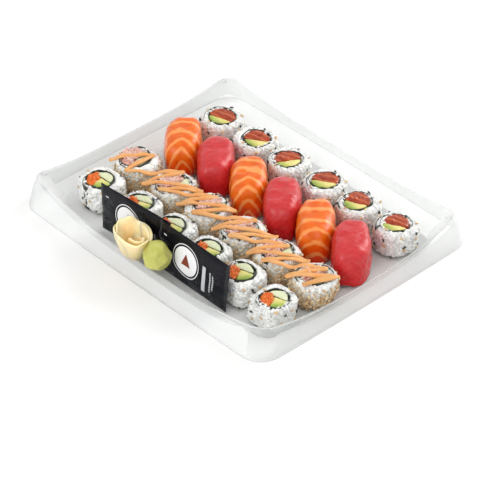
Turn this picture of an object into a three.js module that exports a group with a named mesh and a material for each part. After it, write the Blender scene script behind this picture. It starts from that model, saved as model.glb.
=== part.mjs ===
// Takeaway sushi tray: a clear thermoformed tray with a flared wall, a rim that rises at the corners and an outer
// skirt it stands on. It carries four rows of six pieces, two soy sachets, a rosette of pickled ginger and a ball
// of wasabi. Millimetres, +Z up, +X along the length. The origin is the middle of the underside.
import * as THREE from 'three';

// Tray: the floor, the rim and the foot are rounded rectangles with sides bowed outwards.
const SHEET = 0.8;
const FLOOR = { halfLength: 122, halfWidth: 91, corner: 9, bowLength: 3.5, bowWidth: 5.5 };
const RIM = { halfLength: 134.5, halfWidth: 107.5, corner: 12, bowLength: 3.5, bowWidth: 3.5 };
const FOOT = { halfLength: 142, halfWidth: 116, corner: 20, bowLength: 1, bowWidth: 1.5 };
const RIM_HEIGHT = { middle: 16.5, corner: 28 };
const RIM_BEAD = 2.4;
const CREASE = 2.5;

// Food
const REST = SHEET + 0.3;
const ROLL_PITCH = 41;
const SALMON_ROLL = { radius: 19.4, height: 23.5, squareness: 2.2 };
const CRAB_ROLL = { radius: 19.2, height: 23.5, squareness: 2.2 };
const GARDEN_ROLL = { radius: 18, height: 23, squareness: 3.6 };
const NIGIRI = { halfLength: 26, halfWidth: 14.5, height: 32.5, squareness: 2.3, domeSquareness: 3.6 };
const SACHET = { length: 78, width: 43, bulge: 2.2, foil: 0.5 };
const WASABI_RADIUS = 12.6;

const TAU = 2 * Math.PI;
const radians = THREE.MathUtils.degToRad;

// A closed surface from rings of points: a fan from the first pole to the first ring, a band between each ring and
// the next, and a fan to the last pole. Rings run anticlockwise seen from the first pole.
function closedSurface(firstPole, rings, lastPole) {
  const around = rings[0].length;
  const points = [firstPole, ...rings.flat(), lastPole];
  const last = points.length - 1;
  const at = (ring, step) => 1 + ring * around + (step % around);
  const faces = [];
  for (let step = 0; step < around; step += 1) {
    faces.push(0, at(0, step), at(0, step + 1));
    for (let ring = 0; ring + 1 < rings.length; ring += 1) {
      faces.push(at(ring, step), at(ring + 1, step), at(ring + 1, step + 1));
      faces.push(at(ring, step), at(ring + 1, step + 1), at(ring, step + 1));
    }
    faces.push(last, at(rings.length - 1, step + 1), at(rings.length - 1, step));
  }
  const geometry = new THREE.BufferGeometry().setFromPoints(points);
  geometry.setIndex(faces);
  geometry.computeVertexNormals();
  return geometry;
}

// A rounded rectangle with bowed sides, anticlockwise, each point with its outward direction and with u and v, its
// place from -1 to 1 along the length and the width.
function bowedRectangle({ halfLength, halfWidth, corner, bowLength, bowWidth }) {
  const ARC_STEPS = 5;
  const SIDE_STEPS = 8;
  const plain = [];
  for (let quarter = 0; quarter < 4; quarter += 1) {
    const signX = quarter === 0 || quarter === 3 ? 1 : -1;
    const signY = quarter < 2 ? 1 : -1;
    for (let step = 0; step <= ARC_STEPS; step += 1) {
      const angle = ((quarter + step / ARC_STEPS) * Math.PI) / 2;
      const outward = new THREE.Vector2(Math.cos(angle), Math.sin(angle));
      const x = signX * (halfLength - corner) + corner * outward.x;
      const y = signY * (halfWidth - corner) + corner * outward.y;
      plain.push({ x, y, outward });
    }
    const side = ((quarter + 1) * Math.PI) / 2;
    const outward = new THREE.Vector2(Math.cos(side), Math.sin(side));
    const reach = quarter % 2 === 0 ? halfLength - corner : halfWidth - corner;
    for (let step = 1; step < SIDE_STEPS; step += 1) {
      const along = reach * (1 - (2 * step) / SIDE_STEPS);
      const x = outward.x * halfLength + outward.y * along;
      const y = outward.y * halfWidth - outward.x * along;
      plain.push({ x, y, outward });
    }
  }
  return plain.map(({ x, y, outward }) => {
    const u = x / halfLength;
    const v = y / halfWidth;
    const bowedX = x + u * bowLength * (1 - v * v);
    const bowedY = y + v * bowWidth * (1 - u * u);
    return { x: bowedX, y: bowedY, u, v, outward };
  });
}

// The rim is lowest in the middle of each side and highest at the corners.
function rimHeight({ u, v }) {
  return RIM_HEIGHT.middle + (RIM_HEIGHT.corner - RIM_HEIGHT.middle) * Math.abs(u * v) ** 3;
}

function trayGeometry() {
  const floor = bowedRectangle(FLOOR);
  const rim = bowedRectangle(RIM);
  const foot = bowedRectangle(FOOT);
  const between = (from, to, share) => from + (to - from) * share;
  const columns = floor.map((crease, index) => {
    const top = rim[index];
    const base = foot[index];
    const { outward } = top;
    const crest = rimHeight(top);
    const point = (place, out, z) =>
      new THREE.Vector3(place.x + out * outward.x, place.y + out * outward.y, z);
    const middle = (from, to, share) => ({ x: between(from.x, to.x, share), y: between(from.y, to.y, share) });
    const upper = [
      point(crease, -CREASE, SHEET),
      point(crease, 0, SHEET + CREASE / 3),
      point(middle(crease, top, 0.5), -0.6, between(SHEET, crest, 0.52)),
      point(top, -RIM_BEAD, crest - 1.2),
      point(top, -RIM_BEAD / 3, crest),
      point(top, RIM_BEAD / 2, crest - 0.6),
      point(middle(top, base, 0.5), RIM_BEAD / 2, crest / 2),
      point(base, 0, 0),
    ];
    return { outward, upper, lower: thickened(upper, outward) };
  });
  const count = columns[0].upper.length;
  const ring = (side, station) => columns.map((column) => column[side][station]);
  const rings = [];
  for (let station = 0; station < count; station += 1) rings.push(ring('upper', station));
  for (let station = count - 1; station >= 0; station -= 1) rings.push(ring('lower', station));
  return closedSurface(new THREE.Vector3(0, 0, SHEET), rings, new THREE.Vector3(0, 0, 0));
}

// The other face of the sheet: each point of one column moved by the sheet's thickness across the column, down
// under the floor, outwards behind the wall and inwards behind the skirt.
function thickened(column, outward) {
  const reach = (point) => point.x * outward.x + point.y * outward.y;
  return column.map((point, index) => {
    const before = column[Math.max(index - 1, 0)];
    const after = column[Math.min(index + 1, column.length - 1)];
    const across = new THREE.Vector2(after.z - before.z, reach(before) - reach(after)).normalize();
    const isEdge = index === 0 || index === column.length - 1;
    const out = index === 0 ? 0 : across.x * SHEET;
    const z = isEdge ? 0 : point.z + across.y * SHEET;
    return new THREE.Vector3(point.x + out * outward.x, point.y + out * outward.y, z);
  });
}

// Distance from the middle to a superellipse of half sizes 1 at an angle: 2 is a circle, more is squarer.
function squareCircle(angle, squareness) {
  const sum = Math.abs(Math.cos(angle)) ** squareness + Math.abs(Math.sin(angle)) ** squareness;
  return sum ** (-1 / squareness);
}

// A cut roll standing on end: a squarish disc with rounded edges, slightly lopsided, its top slumped sideways.
function rollGeometry({ radius, height, squareness }, phase, slump) {
  const AROUND = 20;
  const EDGE = 3;
  const stations = [
    { grow: 0.86, z: height },
    { grow: 0.99, z: height - EDGE },
    { grow: 1, z: height / 2 },
    { grow: 0.99, z: EDGE },
    { grow: 0.88, z: 0 },
  ];
  const rings = stations.map(({ grow, z }) =>
    Array.from({ length: AROUND }, (_, step) => {
      const angle = (step / AROUND) * TAU;
      const uneven = 1 - 0.02 * (1 + Math.sin(2 * angle + phase));
      const reach = radius * grow * uneven * squareCircle(angle, squareness);
      const drift = slump * (z / height);
      return new THREE.Vector3(drift + reach * Math.cos(angle), reach * Math.sin(angle), z);
    }),
  );
  return closedSurface(new THREE.Vector3(slump, 0, height), rings, new THREE.Vector3(0, 0, 0));
}

// A nigiri: an oblong block of rice under a slice of fish, high, with a rounded top and a flat underside.
function nigiriGeometry() {
  const AROUND = 20;
  const { halfLength, halfWidth, height, squareness, domeSquareness } = NIGIRI;
  const dome = [0.4, 0.65, 0.82, 0.93, 0.99].map((grow) => ({
    grow,
    z: height * (1 - grow ** domeSquareness) ** (1 / domeSquareness),
  }));
  const stations = [...dome, { grow: 1, z: height * 0.2 }, { grow: 0.92, z: 0 }];
  const rings = stations.map(({ grow, z }) =>
    Array.from({ length: AROUND }, (_, step) => {
      const angle = (step / AROUND) * TAU;
      const reach = grow * squareCircle(angle, squareness);
      return new THREE.Vector3(halfLength * reach * Math.cos(angle), halfWidth * reach * Math.sin(angle), z);
    }),
  );
  return closedSurface(new THREE.Vector3(0, 0, height), rings, new THREE.Vector3(0, 0, 0));
}

// A filled sachet, lying: a pillow that thins to flat crimped ends.
function sachetGeometry() {
  const SIDE_STEPS = 8;
  const { length, width, bulge, foil } = SACHET;
  const outline = [];
  for (let side = 0; side < 4; side += 1) {
    for (let step = 0; step < SIDE_STEPS; step += 1) {
      const along = (2 * step) / SIDE_STEPS - 1;
      const turn = (side * Math.PI) / 2;
      const u = Math.round(Math.cos(turn)) - Math.round(Math.sin(turn)) * along;
      const v = Math.round(Math.sin(turn)) + Math.round(Math.cos(turn)) * along;
      outline.push({ u, v });
    }
  }
  const fullness = (u, v) => (1 - Math.abs(u) ** 3) * (1 - Math.abs(v) ** 4);
  const surface = (face, grow) =>
    outline.map(({ u, v }) => {
      const thick = foil / 2 + bulge * fullness(u * grow, v * grow) ** 0.7;
      return new THREE.Vector3((u * grow * length) / 2, (v * grow * width) / 2, face * thick);
    });
  const grows = [0.4, 0.65, 0.82, 0.92, 1];
  const rings = [
    ...grows.map((grow) => surface(1, grow)),
    ...grows.toReversed().map((grow) => surface(-1, grow)),
  ];
  const full = foil / 2 + bulge;
  return closedSurface(new THREE.Vector3(0, 0, full), rings, new THREE.Vector3(0, 0, -full));
}

// Pickled ginger rolled into a rosette: narrow where it wedges behind the wall, open petals and a hollow above.
function gingerGeometry() {
  const AROUND = 28;
  const PETALS = 5;
  const stations = [
    { across: 5, deep: 4, x: 1, y: 0, z: 27 },
    { across: 8, deep: 6, x: 1, y: 0, z: 34 },
    { across: 15, deep: 9, x: 2, y: 0, z: 37 },
    { across: 21.5, deep: 12, x: 2, y: 0, z: 34 },
    { across: 21, deep: 12.4, x: -1, y: -0.4, z: 28 },
    { across: 17, deep: 10, x: -6, y: 0, z: 18 },
    { across: 16, deep: 5.5, x: -9, y: 1.4, z: 9 },
    { across: 14, deep: 2.6, x: -9, y: 3, z: 2 },
    { across: 8, deep: 1.4, x: -9, y: 3.4, z: 0 },
  ];
  const rings = stations.map(({ across, deep, x, y, z }, station) =>
    Array.from({ length: AROUND }, (_, step) => {
      const angle = (step / AROUND) * TAU;
      const petal = 1 - 0.07 * (1 + Math.cos(PETALS * angle + station * 0.9));
      return new THREE.Vector3(
        x + across * petal * Math.cos(angle),
        y + deep * petal * Math.sin(angle),
        z,
      );
    }),
  );
  const pole = ({ x, y }, z) => new THREE.Vector3(x, y, z);
  return closedSurface(pole(stations[0], stations[0].z - 3), rings, pole(stations.at(-1), 0));
}

// A pressed ball with slightly flattened sides.
function wasabiGeometry() {
  const AROUND = 18;
  const DOWN = 9;
  const rings = [];
  for (let ring = 1; ring < DOWN; ring += 1) {
    const polar = (ring / DOWN) * Math.PI;
    rings.push(
      Array.from({ length: AROUND }, (_, step) => {
        const angle = (step / AROUND) * TAU;
        const facet = 1 - 0.025 * (1 + Math.cos(5 * angle + 2 * polar));
        const reach = WASABI_RADIUS * Math.sin(polar) * facet;
        return new THREE.Vector3(
          reach * Math.cos(angle),
          reach * Math.sin(angle),
          WASABI_RADIUS * Math.cos(polar),
        );
      }),
    );
  }
  const pole = new THREE.Vector3(0, 0, WASABI_RADIUS);
  return closedSurface(pole, rings, pole.clone().negate());
}

const material = (color, roughness) => new THREE.MeshStandardMaterial({ color, roughness, metalness: 0 });
const clearPlastic = new THREE.MeshStandardMaterial({
  color: '#eef2f2',
  roughness: 0.08,
  metalness: 0,
  transparent: true,
  opacity: 0.3,
});
const rice = material('#eeeae2', 0.55);
const salmon = material('#f07a2c', 0.3);
const tuna = material('#c9303c', 0.3);
const crumbedRice = material('#c9a777', 0.7);
const foil = material('#17171a', 0.25);
const gingerFlesh = material('#e8cf9a', 0.35);
const wasabiPaste = material('#a9b052', 0.5);

const sushiTray = new THREE.Group();

function place(name, geometry, finish, [x, y, z], turn = 0) {
  const mesh = new THREE.Mesh(geometry, finish);
  mesh.name = name;
  mesh.position.set(x, y, z);
  mesh.rotation.z = turn;
  sushiTray.add(mesh);
  return mesh;
}

place('tray', trayGeometry(), clearPlastic, [0, 0, 0]);

// Each row: six pieces a pitch apart, each nudged along and across the row, turned a little and slumped along the
// row, as packed by hand.
const rollRows = [
  {
    name: 'roll_salmon',
    form: SALMON_ROLL,
    finish: rice,
    middle: { x: 7.5, y: 62.5 },
    nudges: [[0, 0.5, 0], [0, 0, 0], [-1, 0, 0], [0, 0, 0], [-2.6, -0.2, 0], [-5.5, 1, 3]],
  },
  {
    name: 'roll_crab',
    form: CRAB_ROLL,
    finish: crumbedRice,
    middle: { x: 8, y: -28.6 },
    nudges: [[-1.5, 1, -1], [1, 0.3, 0], [1, 0, 0], [1, 0, 0], [-1.5, -0.2, 0.5], [-4.4, 0.2, 4.8]],
  },
  {
    name: 'roll_garden',
    form: GARDEN_ROLL,
    finish: rice,
    middle: { x: 9.5, y: -66.2 },
    nudges: [[-2.5, -0.8, -1], [1, 0, 0], [0.5, 0, 0], [-1, 0, 0], [-1.5, 0, 0], [-6.9, -3.6, 3.6]],
  },
];
for (const { name, form, finish, middle, nudges } of rollRows) {
  nudges.forEach(([along, across, slump], index) => {
    const x = middle.x + (index - 2.5) * ROLL_PITCH + along;
    place(`${name}_${index + 1}`, rollGeometry(form, index, slump), finish, [x, middle.y + across, REST]);
  });
}

// The nigiri stand side by side across the row, each turned half way towards the end of the tray.
const NIGIRI_PITCH = 38.9;
const NIGIRI_MIDDLE = { x: 4.5, y: 18.4 };
const nigiriNudges = [[0.6, -1.2, -42], [0.4, 0, -42], [0, 0.6, -42], [0, 0.8, -43], [0, 0, -43], [0, 0.8, -43]];
nigiriNudges.forEach(([along, across, turn], index) => {
  const isSalmon = index % 2 === 0;
  const name = `${isSalmon ? 'nigiri_salmon' : 'nigiri_tuna'}_${Math.floor(index / 2) + 1}`;
  const x = NIGIRI_MIDDLE.x + (index - 2.5) * NIGIRI_PITCH + along;
  const finish = isSalmon ? salmon : tuna;
  place(name, nigiriGeometry(), finish, [x, NIGIRI_MIDDLE.y + across, REST], radians(turn));
});

// The sachets stand on their long edges between the front rolls and the wall, one end behind the other.
const sachetPlaces = [
  { x: -29, y: -88.6, z: 25.2, lean: 1.5, rise: 1.4, yaw: 2.4 },
  { x: 39.5, y: -90.2, z: 25, lean: 5, rise: -1.6, yaw: 1 },
];
sachetPlaces.forEach(({ x, y, z, lean, rise, yaw }, index) => {
  const sachet = place(`soy_sachet_${index + 1}`, sachetGeometry(), foil, [x, y, z]);
  sachet.rotation.set(radians(90 - lean), 0, radians(yaw), 'ZYX');
  sachet.rotateZ(radians(rise));
});

place('pickled_ginger', gingerGeometry(), gingerFlesh, [-13, -105, 11]);
place('wasabi', wasabiGeometry(), wasabiPaste, [14.5, -104.9, 28.3]);

export default sushiTray;
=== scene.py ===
import math

import bpy
import numpy as np
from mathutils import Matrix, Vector


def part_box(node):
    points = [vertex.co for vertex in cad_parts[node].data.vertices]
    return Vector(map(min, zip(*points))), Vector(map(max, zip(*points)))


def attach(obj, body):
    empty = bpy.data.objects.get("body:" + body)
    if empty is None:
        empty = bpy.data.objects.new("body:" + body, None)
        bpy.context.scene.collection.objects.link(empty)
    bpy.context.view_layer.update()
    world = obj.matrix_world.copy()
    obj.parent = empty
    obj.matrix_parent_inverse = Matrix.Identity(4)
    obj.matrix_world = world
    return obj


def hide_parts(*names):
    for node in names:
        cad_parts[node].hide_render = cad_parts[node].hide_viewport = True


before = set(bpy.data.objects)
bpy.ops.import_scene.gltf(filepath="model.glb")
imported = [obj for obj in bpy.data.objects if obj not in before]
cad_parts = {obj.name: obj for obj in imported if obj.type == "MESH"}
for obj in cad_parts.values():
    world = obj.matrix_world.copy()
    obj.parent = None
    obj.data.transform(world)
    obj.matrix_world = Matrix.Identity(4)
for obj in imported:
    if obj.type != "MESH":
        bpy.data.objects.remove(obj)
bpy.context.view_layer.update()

bl_info = {
    "name": "Takeaway sushi tray",
    "version": (1, 0, 0),
    "blender": (4, 5, 0),
    "location": "View3D > Sidebar > Sushi tray",
    "description": "Rolls, nigiri, sachets, ginger and wasabi in a clear takeaway tray",
    "category": "Add Mesh",
}

BODY = "root"
MM = 0.001
TAU = 2 * math.pi
GOLDEN = (math.sqrt(5) - 1) / 2
ROW_LENGTH = 6
RIM_SQUARENESS = 7.0
SLICE_SQUARENESS = 5.2
ROWS = ("salmon", "crab", "garden")
ROW_SEEDS = {"salmon": 5, "crab": 6, "garden": 7}
ROW_PHASES = {"salmon": 0.4, "crab": 1.9, "garden": 3.1}
# Size of each row's seaweed ring over the one in the settings
RING_SIZES = {"salmon": 0.95, "crab": 1.04, "garden": 0.98}
# Share of the loose grains that each row gets: crumbs cover much of the crab rolls' rice
GRAIN_SHARES = {"salmon": 1.0, "crab": 0.74, "garden": 1.0}
# Colours of the two kinds of sesame seed, each from one to the other
SESAME = {
    "black_sesame": ((0.012, 0.010, 0.009), (0.03, 0.024, 0.02)),
    "tan_sesame": ((0.56, 0.34, 0.14), (0.72, 0.52, 0.28)),
}


# Settings: the sizes and colours that a user would change.


def length_setting(name, description, millimetres):
    """A length in a settings group."""
    return bpy.props.FloatProperty(
        name=name, description=description, default=millimetres * MM, unit="LENGTH"
    )


def color_setting(name, description, color):
    """A colour in a settings group."""
    return bpy.props.FloatVectorProperty(name=name, description=description, default=color, subtype="COLOR")


def angle_setting(name, description, degrees):
    """An angle in a settings group."""
    return bpy.props.FloatProperty(
        name=name, description=description, default=math.radians(degrees), subtype="ANGLE"
    )


class TraySettings(bpy.types.PropertyGroup):
    """The clear tray."""

    sheet: length_setting("Sheet", "Thickness of the plastic", 0.6)
    rim_middle: length_setting("Rim, middle", "Height of the rim in the middle of a side", 16.5)
    rim_corner: length_setting("Rim, corner", "Height that the rim rises towards at the corners", 28)
    tint: color_setting("Tint", "What the plastic lets through", (0.982, 0.985, 0.984))


class RiceSettings(bpy.types.PropertyGroup):
    """Cooked rice grains."""

    length: length_setting("Length", "Length of a cooked grain", 6.5)
    width: length_setting("Width", "Width of a cooked grain", 3.3)
    per_roll: bpy.props.IntProperty(
        name="Grains per roll", description="Loose grains on one roll without crumbs", default=380
    )
    color: color_setting("Colour", "Colour of the rice", (0.935, 0.935, 0.855))


class FillingSettings(bpy.types.PropertyGroup):
    """What the rolls hold."""

    ring: length_setting("Ring", "Radius of the seaweed ring", 12.0)
    seaweed: length_setting("Seaweed", "Thickness of the seaweed", 0.6)


class SauceSettings(bpy.types.PropertyGroup):
    """The spiced mayonnaise."""

    width: length_setting("Width", "Width of a stripe", 4.1)
    height: length_setting("Height", "Height of a stripe", 2.5)
    color: color_setting("Colour", "Colour of the sauce", (0.78, 0.345, 0.10))


class FishSettings(bpy.types.PropertyGroup):
    """The slices of fish on the nigiri."""

    thickness: length_setting("Thickness", "Thickness of a slice", 4.5)
    fat_spacing: length_setting("Fat lines", "Distance between the fat lines", 11)


class SachetSettings(bpy.types.PropertyGroup):
    """The soy sachets."""

    length: length_setting("Length", "Length", 78)
    width: length_setting("Width", "Width", 43)
    bulge: length_setting("Bulge", "How far the filled middle stands out on each side", 2.3)
    color: color_setting("Colour", "Colour of the film", (0.004, 0.004, 0.006))


class StageSettings(bpy.types.PropertyGroup):
    """The camera and the light."""

    lens: bpy.props.FloatProperty(
        name="Lens", description="Focal length in mm on a 36 mm sensor", default=187.4
    )
    distance: bpy.props.FloatProperty(
        name="Distance", description="From the target to the camera", default=1.9608, unit="LENGTH"
    )
    elevation: angle_setting("Elevation", "Angle above the table", 37.48)
    azimuth: angle_setting("Azimuth", "Turn round the tray", 47.16)
    target: bpy.props.FloatVectorProperty(
        name="Target", description="Where the camera looks", default=(0.02512, -0.02838, 0.010),
        subtype="TRANSLATION"
    )


# Surfaces: points, quads and triangles, with marks that the materials read.


class Surface:
    """Points (n, 3) in metres, quads (q, 4), triangles (t, 3), marks {name: (n,) or (n, 2)}."""

    def __init__(self, points, quads, triangles, marks=None):
        self.points = points
        self.quads = quads
        self.triangles = triangles
        self.marks = marks or {}

    def above(self, level):
        """The same surface, pressed flat where it would reach under a level."""
        self.points[..., 2] = np.maximum(self.points[..., 2], level)
        return self

    def marked(self, name, values):
        """Sets one number, or one pair of numbers, at each point."""
        values = np.asarray(values, float)
        if values.ndim == 0:
            values = np.full(len(self.points), float(values))
        self.marks[name] = values
        return self


def joined(surfaces):
    """One surface from several: their arrays one after another, faces counted on."""
    counts = [len(surface.points) for surface in surfaces]
    starts = np.concatenate([[0], np.cumsum(counts)[:-1]])
    names = surfaces[0].marks.keys()
    return Surface(
        np.concatenate([s.points for s in surfaces]),
        np.concatenate([s.quads + start for s, start in zip(surfaces, starts)]),
        np.concatenate([s.triangles + start for s, start in zip(surfaces, starts)]),
        {name: np.concatenate([s.marks[name] for s in surfaces]) for name in names},
    )


def band_quads(rings, around):
    """Quads between each closed ring of a grid and the next."""
    ring, step = np.meshgrid(np.arange(rings - 1), np.arange(around), indexing="ij")
    after = (step + 1) % around
    here = ring * around
    quads = np.stack([here + step, here + around + step, here + around + after, here + after], -1)
    return quads.reshape(-1, 4)


def closed(rings):
    """Closed surface over rings (r, n, 3): bands between them, and a fan from the middle of the first and
    the last ring. Rings run anticlockwise seen from the first."""
    count, around = rings.shape[:2]
    poles = np.stack([rings[0].mean(0), rings[-1].mean(0)])
    points = np.concatenate([rings.reshape(-1, 3), poles])
    step = np.arange(around)
    after = (step + 1) % around
    last = (count - 1) * around
    first_fan = np.stack([np.full(around, count * around), step, after], -1)
    last_fan = np.stack([np.full(around, count * around + 1), last + after, last + step], -1)
    return Surface(points, band_quads(count, around), np.concatenate([first_fan, last_fan]))


def normals_of(grid, wrapped=False):
    """Unit normals of a grid (r, n, 3): the cross product of its differences both ways."""
    down = np.gradient(grid, axis=0)
    if wrapped:
        along = np.roll(grid, -1, 1) - np.roll(grid, 1, 1)
    else:
        along = np.gradient(grid, axis=1)
    normal = np.cross(down, along)
    return normal / np.maximum(np.linalg.norm(normal, axis=-1, keepdims=True), 1e-12)


def two_faced(front, back):
    """Closed surface between two grids (r, n, 3) of the same layout: each row runs over the front and home
    over the back, and the first and the last row are closed by quads."""
    rows, columns = front.shape[:2]
    rings = np.concatenate([front, back[:, ::-1]], 1)
    around = 2 * columns
    step = np.arange(columns - 1)
    first_end = np.stack([step, step + 1, around - 2 - step, around - 1 - step], -1)
    last_end = (rows - 1) * around + first_end[:, ::-1]
    quads = np.concatenate([band_quads(rows, around), first_end, last_end])
    return Surface(rings.reshape(-1, 3), quads, np.zeros((0, 3), int))


def thick_sheet(grid, thickness, edge=0.25, rim=2.0):
    """Closed slice round a middle surface (r, n, 3): it is moved half the thickness each way along its
    normal, less within rim steps of all four edges, and the two faces are joined round the edges."""
    rows, columns = grid.shape[:2]
    normal = normals_of(grid)
    rim_r = np.minimum(np.arange(rows), np.arange(rows)[::-1])[:, None] / rim
    rim_c = np.minimum(np.arange(columns), np.arange(columns)[::-1])[None, :] / rim
    full = np.clip(np.minimum(rim_r, rim_c), 0, 1)
    half = 0.5 * thickness * (edge + (1 - edge) * np.sqrt(1 - (1 - full) ** 2))
    return two_faced(grid + normal * half[..., None], grid - normal * half[..., None])


def tube(path, wide, high, sides=12):
    """Closed tube along a path (n, 3): an oval section, half sizes wide and high, square to the path and
    upright, that shrinks at both ends to round them."""
    tangent = np.gradient(path, axis=0)
    tangent /= np.linalg.norm(tangent, axis=1, keepdims=True)
    side = np.cross(tangent, np.array([0.0, 0.0, 1.0]))
    side /= np.linalg.norm(side, axis=1, keepdims=True)
    rise = np.cross(side, tangent)
    length = np.linalg.norm(np.diff(path, axis=0), axis=1)
    reach = np.concatenate([[0], np.cumsum(length)])
    near_end = np.minimum(reach, reach[-1] - reach) / np.mean(wide)
    share = np.sqrt(np.clip(1 - (1 - np.clip(near_end + 0.12, 0, 1)) ** 2, 0, 1))
    angle = np.arange(sides) / sides * TAU
    rings = (
        path[:, None]
        + side[:, None] * (np.cos(angle)[None, :] * (wide * share)[:, None])[..., None]
        + rise[:, None] * (np.sin(angle)[None, :] * (high * share)[:, None])[..., None]
    )
    return closed(rings)


def copies(template, centres, axes, sizes, tones):
    """A template placed many times: its points times each size, turned by each set of axes (k, 3, 3), and
    moved to each centre. Each copy has its own tone."""
    count, each = len(centres), len(template.points)
    local = template.points[None] * sizes[:, None]
    points = np.einsum("kpi,kij->kpj", local, axes) + centres[:, None]
    start = np.arange(count)[:, None, None] * each
    quads = (template.quads[None] + start).reshape(-1, 4)
    triangles = (template.triangles[None] + start).reshape(-1, 3)
    surface = Surface(points.reshape(-1, 3), quads, triangles)
    return surface.marked("tone", np.repeat(tones, each))


def ripple(points, scale, seed, waves=14):
    """Smooth unevenness from -1 to 1 or so: the sum of plane waves of random directions, about one scale
    long."""
    draw = np.random.default_rng(seed)
    direction = draw.normal(size=(waves, 3))
    direction /= np.linalg.norm(direction, axis=1, keepdims=True)
    pace = TAU / scale * draw.uniform(0.6, 1.5, waves)
    phase = draw.uniform(0, TAU, waves)
    return np.sin(points @ (direction * pace[:, None]).T + phase).sum(-1) / math.sqrt(waves)


def square_circle(angle, squareness):
    """Reach of a superellipse of half sizes 1 at an angle: 2 is a circle, more is squarer."""
    return (np.abs(np.cos(angle)) ** squareness + np.abs(np.sin(angle)) ** squareness) ** (-1 / squareness)


def smooth_step(low, high, value):
    """0 below low, 1 above high and smooth between them."""
    share = np.clip((value - low) / (high - low), 0, 1)
    return share * share * (3 - 2 * share)


def piece(name, surface, material, replaced=(), smooth=True):
    """Puts a surface into a mesh object that rides on the body and takes its finish from a slot."""
    mesh = bpy.data.meshes.new(name)
    mesh.vertices.add(len(surface.points))
    mesh.vertices.foreach_set("co", surface.points.astype(np.float32).ravel())
    corners = np.concatenate([surface.quads.ravel(), surface.triangles.ravel()]).astype(np.int32)
    mesh.loops.add(len(corners))
    mesh.loops.foreach_set("vertex_index", corners)
    quad_count, triangle_count = len(surface.quads), len(surface.triangles)
    quad_starts = np.arange(quad_count) * 4
    triangle_starts = quad_count * 4 + np.arange(triangle_count) * 3
    mesh.polygons.add(quad_count + triangle_count)
    mesh.polygons.foreach_set("loop_start", np.concatenate([quad_starts, triangle_starts]).astype(np.int32))
    mesh.polygons.foreach_set("use_smooth", np.full(quad_count + triangle_count, smooth))
    mesh.update(calc_edges=True)
    for mark, values in surface.marks.items():
        if values.ndim == 1:
            attribute = mesh.attributes.new(mark, "FLOAT", "POINT")
            attribute.data.foreach_set("value", values.astype(np.float32))
        else:
            layer = mesh.uv_layers.new(name=mark)
            layer.data.foreach_set("uv", values[corners].astype(np.float32).ravel())
    mesh.materials.append(material)
    made = bpy.data.objects.new(name, mesh)
    bpy.context.scene.collection.objects.link(made)
    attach(made, BODY)
    if replaced:
        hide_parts(*replaced)
    return made


# What the frame says: where each item stands and how it lies.


def vertices_of(node):
    """A CAD node's vertices as an array."""
    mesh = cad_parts[node].data
    co = np.zeros(len(mesh.vertices) * 3, np.float32)
    mesh.vertices.foreach_get("co", co)
    return co.reshape(-1, 3).astype(float)


def ends_of(node):
    """The middles of a standing roll's underside and top, from its lowest and highest vertices."""
    points = np.unique(vertices_of(node).round(6), axis=0)
    low, high = points[:, 2].min(), points[:, 2].max()
    base = points[points[:, 2] < low + 0.3 * MM]
    top = points[points[:, 2] > high - 0.3 * MM]
    return [(part.min(0) + part.max(0)) / 2 for part in (base, top)]


def axes_of(node):
    """A node's middle and its long, middle and short directions: the singular vectors of its vertices."""
    points = np.unique(vertices_of(node).round(6), axis=0)
    middle = (points.min(0) + points.max(0)) / 2
    directions = np.linalg.svd(points - points.mean(0), full_matrices=False)[2]
    return middle, directions


def row_nodes(row):
    """The CAD nodes of a row of rolls, from the left."""
    return [f"roll_{row}_{index + 1}" for index in range(ROW_LENGTH)]


# Materials


def shader_group(name, inputs, outputs):
    """A new shader node group with named sockets, and its input and output nodes."""
    group = bpy.data.node_groups.new(name, "ShaderNodeTree")
    for label, kind, default in inputs:
        socket = group.interface.new_socket(name=label, in_out="INPUT", socket_type=kind)
        if default is not None:
            socket.default_value = default
    for label, kind in outputs:
        group.interface.new_socket(name=label, in_out="OUTPUT", socket_type=kind)
    return group, group.nodes.new("NodeGroupInput"), group.nodes.new("NodeGroupOutput")


def add_node(tree, kind, settings=None, **values):
    """A node with its settings, and its inputs set by name (underscores for spaces) or linked to a
    socket."""
    node = tree.nodes.new(kind)
    for key, value in (settings or {}).items():
        setattr(node, key, value)
    for key, value in values.items():
        socket = node.inputs[key.replace("_", " ")]
        if isinstance(value, bpy.types.NodeSocket):
            tree.links.new(value, socket)
        else:
            socket.default_value = value
    return node


def maths(tree, operation, first, second=None, third=None):
    """One Math node, each operand a number or a socket."""
    node = tree.nodes.new("ShaderNodeMath")
    node.operation = operation
    for place, value in enumerate((first, second, third)):
        if isinstance(value, bpy.types.NodeSocket):
            tree.links.new(value, node.inputs[place])
        elif value is not None:
            node.inputs[place].default_value = value
    return node.outputs[0]


def mix_colors(tree, factor, first, second):
    """Mixes two colours, each a colour or a socket."""
    node = tree.nodes.new("ShaderNodeMix")
    node.data_type = "RGBA"
    for socket, value in ((node.inputs[0], factor), (node.inputs[6], first), (node.inputs[7], second)):
        if isinstance(value, bpy.types.NodeSocket):
            tree.links.new(value, socket)
        elif isinstance(value, (int, float)):
            socket.default_value = value
        else:
            socket.default_value = (*value, 1)
    return node.outputs[2]


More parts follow.
